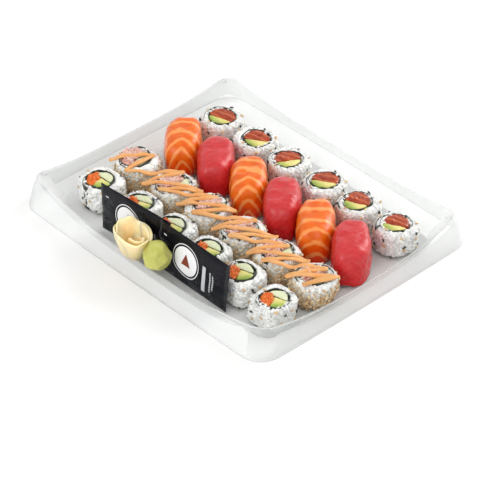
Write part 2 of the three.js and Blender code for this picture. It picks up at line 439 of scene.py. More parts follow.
def mottle_group():
    """Two colours mottled by noise, with the noise's own value."""
    inputs = [
        ("Vector", "NodeSocketVector", None),
        ("Scale", "NodeSocketFloat", 200.0),
        ("First", "NodeSocketColor", None),
        ("Second", "NodeSocketColor", None),
        ("Low", "NodeSocketFloat", 0.35),
        ("High", "NodeSocketFloat", 0.65),
    ]
    group, given, result = shader_group(
        "Mottle", inputs, [("Color", "NodeSocketColor"), ("Mask", "NodeSocketFloat")]
    )
    noise = add_node(
        group, "ShaderNodeTexNoise", Vector=given.outputs["Vector"], Scale=given.outputs["Scale"],
        Detail=4.0
    )
    spread = add_node(
        group, "ShaderNodeMapRange", Value=noise.outputs[0], From_Min=given.outputs["Low"],
        From_Max=given.outputs["High"],
    )
    color = mix_colors(group, spread.outputs[0], given.outputs["First"], given.outputs["Second"])
    group.links.new(color, result.inputs["Color"])
    group.links.new(spread.outputs[0], result.inputs["Mask"])
    return group


def moist_group():
    """Roughness that wanders between two values, as on moist food."""
    inputs = [
        ("Vector", "NodeSocketVector", None),
        ("Scale", "NodeSocketFloat", 150.0),
        ("Smoothest", "NodeSocketFloat", 0.2),
        ("Roughest", "NodeSocketFloat", 0.5),
    ]
    group, given, result = shader_group("Moist", inputs, [("Roughness", "NodeSocketFloat")])
    noise = add_node(
        group, "ShaderNodeTexNoise", Vector=given.outputs["Vector"], Scale=given.outputs["Scale"],
        Detail=3.0
    )
    spread = add_node(
        group, "ShaderNodeMapRange", Value=noise.outputs[0], From_Min=0.3, From_Max=0.7,
        To_Min=given.outputs["Smoothest"], To_Max=given.outputs["Roughest"],
    )
    group.links.new(spread.outputs[0], result.inputs["Roughness"])
    return group


def relief_group():
    """Fine unevenness: coarse and fine noise, and small cells for a share of it."""
    inputs = [
        ("Vector", "NodeSocketVector", None),
        ("Scale", "NodeSocketFloat", 400.0),
        ("Cells", "NodeSocketFloat", 0.3),
    ]
    group, given, result = shader_group("Fine relief", inputs, [("Height", "NodeSocketFloat")])
    noise = add_node(
        group, "ShaderNodeTexNoise", Vector=given.outputs["Vector"], Scale=given.outputs["Scale"],
        Detail=5.0
    )
    cells = add_node(
        group, "ShaderNodeTexVoronoi", Vector=given.outputs["Vector"], Scale=given.outputs["Scale"]
    )
    share = maths(group, "MULTIPLY", cells.outputs["Distance"], given.outputs["Cells"])
    group.links.new(maths(group, "ADD", noise.outputs[0], share), result.inputs["Height"])
    return group


def use_group(tree, name, **values):
    """A shared group, made the first time it is used."""
    makers = {"Mottle": mottle_group, "Moist": moist_group, "Fine relief": relief_group}
    node = tree.nodes.new("ShaderNodeGroup")
    node.node_tree = bpy.data.node_groups.get(name) or makers[name]()
    for key, value in values.items():
        socket = node.inputs[key]
        if isinstance(value, bpy.types.NodeSocket):
            tree.links.new(value, socket)
        elif isinstance(value, tuple):
            socket.default_value = (*value, 1)
        else:
            socket.default_value = value
    return node


def new_material(name):
    """An empty node material with its Principled shader and object coordinates."""
    material = bpy.data.materials.new(name)
    material.use_nodes = True
    tree = material.node_tree
    shader = tree.nodes["Principled BSDF"]
    place = tree.nodes.new("ShaderNodeTexCoord").outputs["Object"]
    return material, tree, shader, place


def food_material(
    name, first, second, toned=None, grain=250.0, roughness=(0.3, 0.5), relief=0.3, depth=0.25, scatter=0.0,
    scatter_radius=(1.0, 0.6, 0.4), coat=0.0, cells=0.3,
):
    """A moist or dry food: two mottled colours, two more where the mark "tone" is 1, roughness that
    wanders, and fine relief. scatter is how much light goes in, and depth how deep the relief is in
    millimetres."""
    material, tree, shader, place = new_material(name)
    color = use_group(tree, "Mottle", Vector=place, Scale=grain, First=first, Second=second).outputs["Color"]
    if toned:
        other = use_group(tree, "Mottle", Vector=place, Scale=grain, First=toned[0], Second=toned[1])
        tone = add_node(tree, "ShaderNodeAttribute", {"attribute_name": "tone"}).outputs["Fac"]
        color = mix_colors(tree, tone, color, other.outputs["Color"])
    tree.links.new(color, shader.inputs["Base Color"])
    moist = use_group(
        tree, "Moist", Vector=place, Scale=grain * 0.6, Smoothest=roughness[0], Roughest=roughness[1]
    )
    tree.links.new(moist.outputs[0], shader.inputs["Roughness"])
    height = use_group(tree, "Fine relief", Vector=place, Scale=grain * 2.2, Cells=cells).outputs[0]
    bump = add_node(tree, "ShaderNodeBump", Strength=relief, Distance=depth * MM, Height=height)
    tree.links.new(bump.outputs[0], shader.inputs["Normal"])
    shader.inputs["Subsurface Weight"].default_value = scatter
    shader.inputs["Subsurface Radius"].default_value = scatter_radius
    shader.inputs["Subsurface Scale"].default_value = 2.5 * MM
    shader.inputs["Coat Weight"].default_value = coat
    shader.inputs["Coat Roughness"].default_value = 0.12
    return material


def fish_material(name, flesh, low_flesh, fat, spacing, fat_share):
    """Raw fish: flesh that deepens towards the tray, soft fat lines where the mark "fat_line" (in metres)
    passes each spacing, a wet coat and fine muscle relief."""
    material, tree, shader, place = new_material(name)
    split = add_node(tree, "ShaderNodeSeparateXYZ", Vector=place)
    # Towards the tray the flesh deepens to the second pair of colours: painted shade, mixed in by height.
    high = add_node(
        tree, "ShaderNodeMapRange", Value=split.outputs["Z"], From_Min=3 * MM, From_Max=26 * MM
    ).outputs[0]
    upper = use_group(tree, "Mottle", Vector=place, Scale=120.0, First=flesh[0], Second=flesh[1])
    lower = use_group(tree, "Mottle", Vector=place, Scale=90.0, First=low_flesh[0], Second=low_flesh[1])
    color = mix_colors(tree, high, lower.outputs["Color"], upper.outputs["Color"])
    line = add_node(tree, "ShaderNodeAttribute", {"attribute_name": "fat_line"}).outputs["Fac"]
    drift = add_node(tree, "ShaderNodeTexNoise", Vector=place, Scale=110.0, Detail=2.0).outputs[0]
    wander = maths(tree, "MULTIPLY_ADD", drift, 0.55, maths(tree, "DIVIDE", line, spacing))
    wave = maths(tree, "SINE", maths(tree, "MULTIPLY", wander, TAU))
    ridge = add_node(tree, "ShaderNodeMapRange", {"interpolation_type": "SMOOTHSTEP"}, Value=wave)
    ridge.inputs["From Min"].default_value = 0.15
    ridge.inputs["From Max"].default_value = 1.0
    amount = maths(tree, "MULTIPLY", ridge.outputs[0], fat_share)
    color = mix_colors(tree, amount, color, fat)
    tree.links.new(color, shader.inputs["Base Color"])
    moist = use_group(tree, "Moist", Vector=place, Scale=260.0, Smoothest=0.18, Roughest=0.38)
    tree.links.new(moist.outputs[0], shader.inputs["Roughness"])
    fine = use_group(tree, "Fine relief", Vector=place, Scale=620.0, Cells=0.5).outputs[0]
    height = maths(tree, "MULTIPLY_ADD", ridge.outputs[0], 0.5, fine)
    bump = add_node(tree, "ShaderNodeBump", Strength=0.32, Distance=0.4 * MM, Height=height)
    tree.links.new(bump.outputs[0], shader.inputs["Normal"])
    shader.inputs["Subsurface Weight"].default_value = 0.35
    shader.inputs["Subsurface Radius"].default_value = (1.0, 0.35, 0.2)
    shader.inputs["Subsurface Scale"].default_value = 3 * MM
    beads = add_node(tree, "ShaderNodeTexNoise", Vector=place, Scale=900.0, Detail=3.0).outputs[0]
    wet = add_node(tree, "ShaderNodeBump", Strength=0.55, Distance=0.35 * MM, Height=beads)
    tree.links.new(wet.outputs[0], shader.inputs["Coat Normal"])
    shader.inputs["Specular IOR Level"].default_value = 0.12
    shader.inputs["Coat Weight"].default_value = 0.75
    shader.inputs["Coat Roughness"].default_value = 0.2
    shader.inputs["Coat IOR"].default_value = 1.4
    return material


def between(tree, value, low, high, blur):
    """1 where a value lies between two bounds, with soft edges."""
    rise = add_node(tree, "ShaderNodeMapRange", Value=value, From_Min=low - blur, From_Max=low + blur).outputs[0]
    fall = add_node(tree, "ShaderNodeMapRange", Value=value, From_Min=high - blur, From_Max=high + blur)
    fall.inputs["To Min"].default_value = 1
    fall.inputs["To Max"].default_value = 0
    return maths(tree, "MULTIPLY", rise, fall.outputs[0])


def film_material(film):
    """Printed laminate film. The map "print" gives millimetres from the sachet's middle along and across
    it. The print is a white disc with a brown drop, two pale bars, a row of dashes and a small tear mark at
    the end."""
    disc = {"along": -6.5, "across": 1.0, "radius": 12.5}
    material, tree, shader, place = new_material("black_film")
    spot = add_node(tree, "ShaderNodeUVMap", {"uv_map": "print"}).outputs[0]
    split = add_node(tree, "ShaderNodeSeparateXYZ", Vector=spot)
    along, across = split.outputs["X"], split.outputs["Y"]
    base = use_group(
        tree, "Mottle", Vector=place, Scale=60.0, First=tuple(film),
        Second=tuple(channel * 1.9 for channel in film)
    ).outputs["Color"]
    to_disc = maths(tree, "SUBTRACT", along, disc["along"])
    over_disc = maths(tree, "SUBTRACT", across, disc["across"])
    squares = maths(tree, "MULTIPLY_ADD", to_disc, to_disc, maths(tree, "MULTIPLY", over_disc, over_disc))
    reach = maths(tree, "SQRT", squares)
    white = between(tree, reach, -5.0, disc["radius"], 0.12)
    rim = between(tree, reach, disc["radius"] + 1.6, disc["radius"] + 2.3, 0.1)
    color = mix_colors(tree, maths(tree, "MAXIMUM", white, rim), base, (0.83, 0.83, 0.84))
    drop_width = maths(tree, "MULTIPLY_ADD", over_disc, -0.42, 3.0)
    drop = maths(tree, "DIVIDE", maths(tree, "ABSOLUTE", to_disc), maths(tree, "MAXIMUM", drop_width, 0.05))
    drop = maths(
        tree, "MULTIPLY", between(tree, drop, -1.0, 1.0, 0.06), between(tree, over_disc, -4.5, 6.4, 0.12)
    )
    color = mix_colors(tree, drop, color, (0.22, 0.045, 0.02))
    for start, wide, reach_out in ((12.5, 3.6, 15.0), (20.5, 1.3, 12.0), (23.5, 1.3, 9.0)):
        bar = maths(
            tree, "MULTIPLY", between(tree, along, start, start + wide, 0.1),
            between(tree, across, -reach_out, reach_out * 0.55, 0.1),
        )
        if wide < 2:
            dashes = between(tree, maths(tree, "FRACT", maths(tree, "DIVIDE", across, 2.1)), 0.2, 2.0, 0.05)
            bar = maths(tree, "MULTIPLY", bar, dashes)
        color = mix_colors(tree, bar, color, (0.52, 0.53, 0.55))
    # A small white mark near one end of the top edge: a painted glint.
    mark = maths(
        tree, "MULTIPLY", between(tree, along, -33.0, -29.8, 0.1), between(tree, across, 11.6, 12.6, 0.1)
    )
    color = mix_colors(tree, mark, color, (0.78, 0.78, 0.8))
    # Lighter stripes across the crimped ends: painted highlights on the ribs.
    end = between(tree, maths(tree, "ABSOLUTE", along), 36.2, 50.0, 0.15)
    rib = between(tree, maths(tree, "FRACT", maths(tree, "DIVIDE", across, 1.3)), 0.55, 0.85, 0.08)
    color = mix_colors(tree, maths(tree, "MULTIPLY", end, rib), color, (0.07, 0.07, 0.075))
    tree.links.new(color, shader.inputs["Base Color"])
    moist = use_group(tree, "Moist", Vector=place, Scale=70.0, Smoothest=0.2, Roughest=0.34)
    tree.links.new(moist.outputs[0], shader.inputs["Roughness"])
    fine = use_group(tree, "Fine relief", Vector=place, Scale=75.0, Cells=0.8).outputs[0]
    bump = add_node(tree, "ShaderNodeBump", Strength=0.5, Distance=1.2 * MM, Height=fine)
    tree.links.new(bump.outputs[0], shader.inputs["Normal"])
    shader.inputs["Specular IOR Level"].default_value = 0.12
    shader.inputs["Coat Weight"].default_value = 0.06
    shader.inputs["Coat Roughness"].default_value = 0.08
    return material


def plastic_material(tint):
    """Clear thermoformed plastic: what is behind shows through, lightly clouded, with a gloss that grows at
    grazing angles."""
    material, tree, shader, place = new_material("clear_plastic")
    cloud = use_group(
        tree, "Mottle", Vector=place, Scale=14.0, First=(0.86, 0.865, 0.863), Second=(0.92, 0.925, 0.922)
    ).outputs["Color"]
    tree.links.new(cloud, shader.inputs["Base Color"])
    moist = use_group(tree, "Moist", Vector=place, Scale=22.0, Smoothest=0.06, Roughest=0.13)
    tree.links.new(moist.outputs[0], shader.inputs["Roughness"])
    fine = use_group(tree, "Fine relief", Vector=place, Scale=26.0, Cells=0.1).outputs[0]
    bump = add_node(tree, "ShaderNodeBump", Strength=0.2, Distance=0.8 * MM, Height=fine)
    tree.links.new(bump.outputs[0], shader.inputs["Normal"])
    clear = add_node(tree, "ShaderNodeBsdfTransparent", Color=(*tint, 1))
    facing = add_node(tree, "ShaderNodeLayerWeight", Blend=0.32)
    share = add_node(
        tree, "ShaderNodeMapRange", Value=facing.outputs["Fresnel"], From_Min=0.0, From_Max=1.0,
        To_Min=0.025,
        To_Max=0.56,
    )
    mixer = tree.nodes.new("ShaderNodeMixShader")
    tree.links.new(share.outputs[0], mixer.inputs[0])
    tree.links.new(clear.outputs[0], mixer.inputs[1])
    tree.links.new(shader.outputs[0], mixer.inputs[2])
    tree.links.new(mixer.outputs[0], tree.nodes["Material Output"].inputs["Surface"])
    return material


# Tray


def bowed_outline(half_length, half_width, corner, bow_length, bow_width, arc_steps=16, side_steps=32):
    """Rounded rectangle whose sides bow outwards by bow * (1 - place squared), anticlockwise: the points
    (n, 2) and their outward directions."""
    quarter = np.repeat(np.arange(4), arc_steps + side_steps)
    step = np.tile(np.arange(arc_steps + side_steps), 4)
    on_arc = step < arc_steps
    angle = (quarter + np.where(on_arc, step / arc_steps, 1.0)) * TAU / 4
    outward = np.stack([np.cos(angle), np.sin(angle)], -1)
    sign_x = np.where((quarter == 0) | (quarter == 3), 1, -1)
    sign_y = np.where(quarter < 2, 1, -1)
    arc_x = sign_x * (half_length - corner) + corner * outward[:, 0]
    arc_y = sign_y * (half_width - corner) + corner * outward[:, 1]
    reach = np.where(quarter % 2 == 0, half_length - corner, half_width - corner)
    along = reach * (1 - 2 * (step - arc_steps) / side_steps)
    side_x = outward[:, 0] * half_length + outward[:, 1] * along
    side_y = outward[:, 1] * half_width - outward[:, 0] * along
    x = np.where(on_arc, arc_x, side_x)
    y = np.where(on_arc, arc_y, side_y)
    u, v = x / half_length, y / half_width
    points = np.stack([x + u * bow_length * (1 - v * v), y + v * bow_width * (1 - u * u)], -1)
    return points, outward, u, v


def smooth_stations(keys, per_span):
    """A smooth curve through key stations (k, n, 3): a Catmull-Rom spline from station to station."""
    count = len(keys)
    padded = np.concatenate([2 * keys[:1] - keys[1:2], keys, 2 * keys[-1:] - keys[-2:-1]])
    place = np.linspace(0, count - 1, (count - 1) * per_span + 1)
    span = np.minimum(place.astype(int), count - 2)
    t = (place - span)[:, None, None]
    a, b, c, d = (padded[span + offset] for offset in range(4))
    return 0.5 * (2 * b + (c - a) * t + (2 * a - 5 * b + 4 * c - d) * t**2 + (3 * b - a - 3 * c + d) * t**3)


def tray_surface(settings):
    """The tray's sheet: stations from the floor up the flared wall, over the rolled rim and down the skirt
    to the foot, smooth between them, and the same moved in by the sheet's thickness."""
    floor, outward, _, _ = bowed_outline(122 * MM, 91 * MM, 9 * MM, 3.5 * MM, 5.5 * MM)
    rim, _, u, v = bowed_outline(134.5 * MM, 107.5 * MM, 12 * MM, 3.5 * MM, 3.5 * MM)
    foot = bowed_outline(142 * MM, 116 * MM, 20 * MM, 1 * MM, 1.5 * MM)[0]
    crest = settings.rim_middle + (settings.rim_corner - settings.rim_middle) * np.abs(u * v) ** 3
    sheet = settings.sheet

    def station(place, out, z):
        level = np.broadcast_to(z, (len(place),))
        return np.concatenate([place + out * MM * outward, level[:, None]], 1)

    def part_way(start, end, share):
        return start + (end - start) * share

    wall = [
        station(part_way(floor, rim, share), -0.6 * 4 * share * (1 - share), sheet + (crest - sheet) * share**0.96)
        for share in (0.22, 0.4, 0.58, 0.76)
    ]
    skirt = [
        station(part_way(rim, foot, share), 1.5 * (1 - share) + 0.5 * math.sin(share * math.pi), crest * (1 - share))
        for share in (0.25, 0.45, 0.65, 0.85)
    ]
    keys = [
        station(floor, -7.0, sheet),
        station(floor, -3.2, sheet),
        station(floor, -1.0, sheet + 0.35 * MM),
        station(floor, 0.6, sheet + 1.5 * MM),
        *wall,
        station(rim, -2.2, crest - 1.0 * MM),
        station(rim, -1.1, crest - 0.1 * MM),
        station(rim, 0.3, crest - 0.15 * MM),
        station(rim, 1.3, crest - 1.3 * MM),
        *skirt,
        station(foot, -0.5, 0.9 * MM),
        station(foot, 0.0, 0.0 * MM),
    ]
    upper = smooth_stations(np.stack(keys), 3)
    inner = np.array([0.03, 0.3, 0.6, 0.85])[:, None, None] * upper[:1]
    inner[..., 2] = sheet
    upper = np.concatenate([inner, upper])
    normal = normals_of(upper, wrapped=True)
    normal[..., 2] = np.where(upper[..., 2] <= sheet * 1.001, 1.0, normal[..., 2])
    normal[:5, :, :2] = 0
    lower = upper - normal * sheet
    lower[..., 2] = np.maximum(lower[..., 2], 0)
    rings = np.concatenate([upper, lower[::-1]])
    return closed(rings)


def nub_surface(x, y, z):
    """A stacking nub: a low rounded button, radius falling as the square root towards its top."""
    angle = np.arange(20) / 20 * TAU
    share = np.linspace(0.05, 1, 6)[:, None]
    reach = 2.6 * MM * share + 0 * angle
    ring = np.stack([x + reach * np.cos(angle), y + reach * np.sin(angle)], -1)
    level = z + 1.3 * MM * np.sqrt(1 - 0.98 * share**2) + 0 * angle
    return closed(np.concatenate([ring, level[..., None]], -1))


class SUSHI_OT_tray(bpy.types.Operator):
    """Makes the clear tray with its stacking nubs"""

    bl_idname = "sushi.tray"
    bl_label = "Tray"

    def execute(self, context):
        settings = context.scene.sushi_tray
        plastic = plastic_material(settings.tint)
        piece("tray_shell", tray_surface(settings), plastic, ["tray"])
        level = settings.rim_corner - 3.2 * MM
        nubs = [nub_surface(sx * 131 * MM, sy * 98 * MM, level) for sx in (-1, 1) for sy in (-1, 1)]
        piece("stacking_nubs", joined(nubs), plastic)
        return {"FINISHED"}


# Rice, seeds and crumbs


def grain_template(rings=4, around=6, bend=0.12):
    """A cooked grain of half sizes 1: radius the sine of the angle from its end to a power, slightly
    bent."""
    angle = (np.arange(rings) + 1) / (rings + 1) * math.pi
    turn = np.arange(around) / around * TAU
    reach = np.sin(angle)[:, None] ** 0.85
    along = np.cos(angle)[:, None] + 0 * turn
    points = np.stack([along, reach * np.cos(turn), reach * np.sin(turn) - bend * along**2], -1)
    surface = closed(points)
    surface.points[-2:, 0] = (1, -1)
    surface.points[-2:, 2] = -bend
    return surface


def seed_template():
    """A sesame seed of half sizes 1: flat, round at one end and pointed at the other."""
    surface = grain_template(5, 6, 0.0)
    taper = 1 - 0.38 * surface.points[:, :1]
    surface.points[:, 1:] *= taper
    return surface


def crumb_template():
    """A toasted crumb of half sizes 1: a rough lump of few faces."""
    surface = grain_template(3, 5, 0.0)
    surface.points *= 1 + 0.22 * ripple(surface.points, 1.6, 4)[:, None]
    return surface


def roll_point(form, angle, latitude):
    """A point on a cut roll: a superellipse in plan, swept by a squarer superellipse from the top (latitude
    +90 degrees) round the rim to the underside, and shifted from the base's middle to the top's."""
    base, top, radius, squareness = form["base"], form["top"], form["radius"], form["squareness"]
    share = square_circle(latitude, RIM_SQUARENESS)
    out = np.cos(latitude) * share
    up = np.sin(latitude) * share
    uneven = 1 - 0.022 * (1 + np.sin(2 * angle + form["phase"])) - 0.014 * (
        1 + np.sin(3 * angle - form["phase"])
    )
    reach = radius * out * square_circle(angle, squareness) * uneven
    middle = base + (top - base) * (0.5 + 0.5 * up)[..., None]
    flat = np.stack([reach * np.cos(angle), reach * np.sin(angle), 0 * reach], -1)
    return middle + flat


def roll_frames(form, angle, latitude):
    """Points on a roll with outward normals and one tangent, from small differences."""
    step = 1e-3
    here = roll_point(form, angle, latitude)
    around = roll_point(form, angle + step, latitude) - here
    down = here - roll_point(form, angle, latitude + step)
    normal = np.cross(down, around)
    normal /= np.maximum(np.linalg.norm(normal, axis=-1, keepdims=True), 1e-15)
    tangent = around / np.maximum(np.linalg.norm(around, axis=-1, keepdims=True), 1e-15)
    return here, normal, tangent


def spread_over(form, count, seed, lowest=-1.35, highest=1.5, clear=0.0):
    """Angles and latitudes spread evenly over a roll: latitudes by the area of each band, angles a golden
    step apart. clear leaves out a disc round the middle of the top."""
    draw = np.random.default_rng(seed)
    latitude = np.linspace(lowest, highest, 600)
    profile = roll_point(form, np.zeros(600), latitude)
    centre = form["base"] + (form["top"] - form["base"]) * 0.5
    reach = np.abs(profile[:, 0] - centre[0])
    keep = (reach > clear) | (latitude < 0)
    length = np.concatenate([[0], np.linalg.norm(np.diff(profile, axis=0), axis=1)])
    area = np.cumsum(length * np.maximum(reach, 0.5 * MM) * keep)
    share = (np.arange(count) + draw.uniform(0, 1, count)) / count
    place = np.interp(share * area[-1], area, latitude)
    angle = (np.arange(count) * GOLDEN % 1.0) * TAU + draw.normal(0, 0.05, count)
    return angle, place


def turned_axes(normal, tangent, turn):
    """Axes (k, 3, 3) with the third along the normal and the first turned in the surface."""
    across = np.cross(normal, tangent)
    first = tangent * np.cos(turn)[:, None] + across * np.sin(turn)[:, None]
    return np.stack([first, np.cross(normal, first), normal], 1)


def on_roll(template, form, count, seed, half_sizes, sink, spread=0.12, lean=0.2, tones=(0.0, 1.0), **where):
    """Copies of a template laid on a roll at random turns, sizes varied by spread. At sink 0 a copy rests
    on the roll's form, at 1 it is all under it, and a negative sink lifts it on to the loose grains. where
    goes to spread_over."""
    draw = np.random.default_rng(seed + 77)
    angle, latitude = spread_over(form, count, seed, **where)
    here, normal, tangent = roll_frames(form, angle, latitude)
    normal = normal + draw.normal(0, lean, (count, 3))
    normal /= np.linalg.norm(normal, axis=1, keepdims=True)
    tangent = np.cross(np.cross(normal, tangent), normal)
    tangent /= np.linalg.norm(tangent, axis=1, keepdims=True)
    axes = turned_axes(normal, tangent, draw.uniform(0, TAU, count))
    sizes = np.array(half_sizes) * (1 + draw.normal(0, spread, (count, 3))).clip(0.6, 1.5)
    centres = here + normal * (sizes[:, 2:] * (1 - 2 * sink))
    return copies(template, centres, axes, sizes, draw.uniform(*tones, count)).above(
        form["base"][2] - 0.2 * MM
    )


def roll_form(node, row):
    """Sizes of one roll from its node: the middles of its ends, its radius and how square it is."""
    base, top = ends_of(node)
    low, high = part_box(node)
    inset = 0.9 * MM
    radius = (high.y - low.y) / 2
    index = int(node[-1])
    return {
        "base": base + np.array([0, 0, 0.3 * MM]),
        "top": top - np.array([0, 0, 0.8 * MM]),
        "radius": radius - inset,
        "squareness": 3.4 if row == "garden" else 2.2,
        "phase": ROW_PHASES[row] + 1.7 * index,
        "index": index,
    }


def core_surface(form, seed):
    """The rice of a roll: the roll's own form, with grain-sized lumps and broader ones, its top kept a
    little low in the middle where the filling stands."""
    rows, columns = 46, 66
    latitude = np.linspace(1.55, -1.55, rows)[:, None] + np.zeros((1, columns))
    angle = np.zeros((rows, 1)) + (np.arange(columns) / columns * TAU)[None]
    grid, normal, _ = roll_frames(form, angle, latitude)
    lumps = 0.2 * MM * ripple(grid, 3.6 * MM, seed) + 0.4 * MM * ripple(grid, 9 * MM, seed + 1)
    lumps = np.where(latitude < -1.2, 0.0, lumps)
    grid = grid + normal * lumps[..., None]
    out = np.linalg.norm(grid[..., :2] - (form["top"] + form["shift"])[:2], axis=-1)
    inside = (latitude > 0) * (1 - smooth_step(form["ring"] - 0.5 * MM, form["ring"] + 1.0 * MM, out))
    grid[..., 2] -= 3.2 * MM * inside
    grid[..., 2] = np.maximum(grid[..., 2], form["base"][2])
    return closed(grid)


# Fillings


def unit_reach(centre, walls, angle):
    """From a centre inside the unit disc, how far a direction goes until the disc's edge or a wall,
    smoothed into round corners by a power mean. A wall is a normal direction (degrees) and its distance
    from the disc's middle."""
    direction = np.stack([np.cos(angle), np.sin(angle)], -1)
    centre = np.asarray(centre, float)
    dot = direction @ centre
    spans = [-dot + np.sqrt(dot**2 + 1 - centre @ centre)]
    for heading, distance in walls:
        normal = np.array([math.cos(math.radians(heading)), math.sin(math.radians(heading))])
        towards = np.maximum(direction @ normal, 1e-3)
        spans.append(np.where(direction @ normal > 1e-3, (distance - centre @ normal) / towards, 50.0))
    return sum(span**-9.0 for span in spans) ** (-1 / 9.0)


def ring_reach(form, angle):
    """Reach of the seaweed ring at an angle, uneven in its own way on each roll."""
    if form["squareness"] > 3:
        shape = square_circle(angle + TAU / 8, 1.75) * 0.97
    else:
        shape = 1 + 0.07 * np.cos(2 * angle + form["oval"][0])
    wobble = 0.035 * np.sin(3 * angle + form["oval"][1]) + 0.015 * np.sin(7 * angle + form["oval"][2])
    return form["ring"] * shape * (1 + wobble)


def plug_surface(form, centre, walls, rise, seed, grain=2.5 * MM, rough=0.25 * MM, stations=9, around=72):
    """One filling, standing in the ring through the whole roll: its outline from unit_reach, mapped to the
    ring and turned to the roll's heading, its top rounded and rough, its sides straight."""
    angle = np.arange(around) / around * TAU
    reach = unit_reach(centre, walls, angle)
    share = np.concatenate([np.linspace(0.12, 0.9, stations), [0.965, 0.99], [0.985, 0.985, 0.9]])
    drop = np.concatenate([0.9 * MM * np.linspace(0.12, 0.9, stations) ** 4, [1.1 * MM, 1.9 * MM]])
    flat = np.asarray(centre)[None, None] + share[:, None, None] * (
        reach[:, None] * np.stack([np.cos(angle), np.sin(angle)], -1)
    )
    out = np.linalg.norm(flat, axis=-1)
    heading = np.arctan2(flat[..., 1], flat[..., 0])
    radius = out * ring_reach(form, heading) * 0.985
    turn = heading + form["heading"]
    x, y = radius * np.cos(turn), radius * np.sin(turn)
    height = form["top"][2] + rise - form["base"][2]
    level = np.concatenate([height - drop, [height * 0.5, 0.4 * MM, 0.1 * MM]])
    level = level[:, None] + 0 * x
    grid = np.stack([x, y, level + form["base"][2]], -1)
    mark = np.concatenate([share, share[:1], share[-1:]])
    bumps = rough * ripple(grid * np.array([1, 1, 0.2]), grain, seed)
    grid[..., 2] += np.where(np.arange(len(share))[:, None] < stations + 1, bumps, 0)
    lean = (grid[..., 2:] - form["base"][2]) / max(form["top"][2] - form["base"][2], 1e-9)
    middle = form["base"] + (form["top"] - form["base"]) * lean + form["shift"]
    grid[..., :2] += middle[..., :2]
    surface = closed(grid)
    edge = np.concatenate([np.repeat(mark[: len(share)], around), mark[-2:]])
    return surface.marked("tone", edge)


def seaweed_surface(form, seed, tail=1.3):
    """The seaweed: an upright band along the ring, once round and on into the rice in a widening tail, its
    upper edge ragged."""
    count = 150
    angle = np.linspace(0, TAU + tail, count)
    room = form["radius"] - form["ring"]
    growth = 0.62 * room * smooth_step(TAU - 0.35, TAU + tail, angle)
    radius = ring_reach(form, angle) + form["seaweed"] * 0.8 + growth
    turn = angle + form["heading"] + form["tail"]
    middle = np.stack([radius * np.cos(turn), radius * np.sin(turn)], -1)
    draw = np.random.default_rng(seed)
    ragged = np.interp(
        np.arange(count), np.arange(0, count, 3), draw.normal(0, 0.22 * MM, len(range(0, count, 3)))
    )
    top = form["top"][2] + 0.55 * MM + ragged - 0.5 * MM * smooth_step(TAU, TAU + tail, angle)
    levels = np.array([0.0, 0.35, 0.7, 0.92, 1.0])
    low = form["base"][2] + 0.1 * MM
    z = low + (top - low)[:, None] * levels
    grid = np.concatenate([np.repeat(middle[:, None], len(levels), 1), z[..., None]], -1)
    lean = (grid[..., 2:] - form["base"][2]) / (form["top"][2] - form["base"][2])
    grid[..., :2] += (form["base"] + (form["top"] - form["base"]) * lean + form["shift"])[..., :2]
    return thick_sheet(grid, form["seaweed"], 0.5)


def shreds_surface(form, centre, walls, count, seed, half_sizes, rise):
    """Shreds heaped on the top of a filling: bent sticks at random turns, their middles inside its
    outline."""
    draw = np.random.default_rng(seed)
    angle = draw.uniform(0, TAU, count)
    reach = unit_reach(centre, walls, angle) * np.sqrt(draw.uniform(0, 0.74, count))
    flat = np.asarray(centre) + reach[:, None] * np.stack([np.cos(angle), np.sin(angle)], -1)
    out = np.linalg.norm(flat, axis=1)
    heading = np.arctan2(flat[:, 1], flat[:, 0])
    radius = out * ring_reach(form, heading) * 0.95
    turn = heading + form["heading"]
    centres = np.stack([radius * np.cos(turn), radius * np.sin(turn), 0 * turn], -1)
    centres += form["top"] + form["shift"] + np.array([0, 0, 1]) * (
        rise + draw.uniform(-0.7, 0.5, count)[:, None] * MM
    )
    normal = np.array([0, 0, 1.0]) + draw.normal(0, 0.28, (count, 3))
    normal /= np.linalg.norm(normal, axis=1, keepdims=True)
    tangent = np.cross(normal, np.array([0, 1.0, 0]))
    tangent /= np.linalg.norm(tangent, axis=1, keepdims=True)
    axes = turned_axes(normal, tangent, draw.uniform(0, TAU, count))
    sizes = np.array(half_sizes) * (1 + draw.normal(0, 0.22, (count, 3))).clip(0.5, 1.6)
    return copies(grain_template(4, 5, 0.16), centres, axes, sizes, draw.uniform(0, 1, count))


def forms_of(context, row):
    """Every roll of a row, with its filling's ring, heading and the place of the seaweed's tail."""
    filling = context.scene.sushi_filling
    draw = np.random.default_rng(ROW_SEEDS[row])
    forms = []
    for node in row_nodes(row):
        form = roll_form(node, row)
        form["ring"] = filling.ring * RING_SIZES[row]
        form["seaweed"] = filling.seaweed
        form["heading"] = context.scene.sushi_stage.azimuth + draw.normal(0, 0.16)
        form["tail"] = math.radians(150) + draw.normal(0, 0.3)
        form["shift"] = np.append(draw.normal(0, 1.2 * MM, 2), 0)
        form["oval"] = draw.uniform(0, TAU, 3)
        forms.append(form)
    return forms


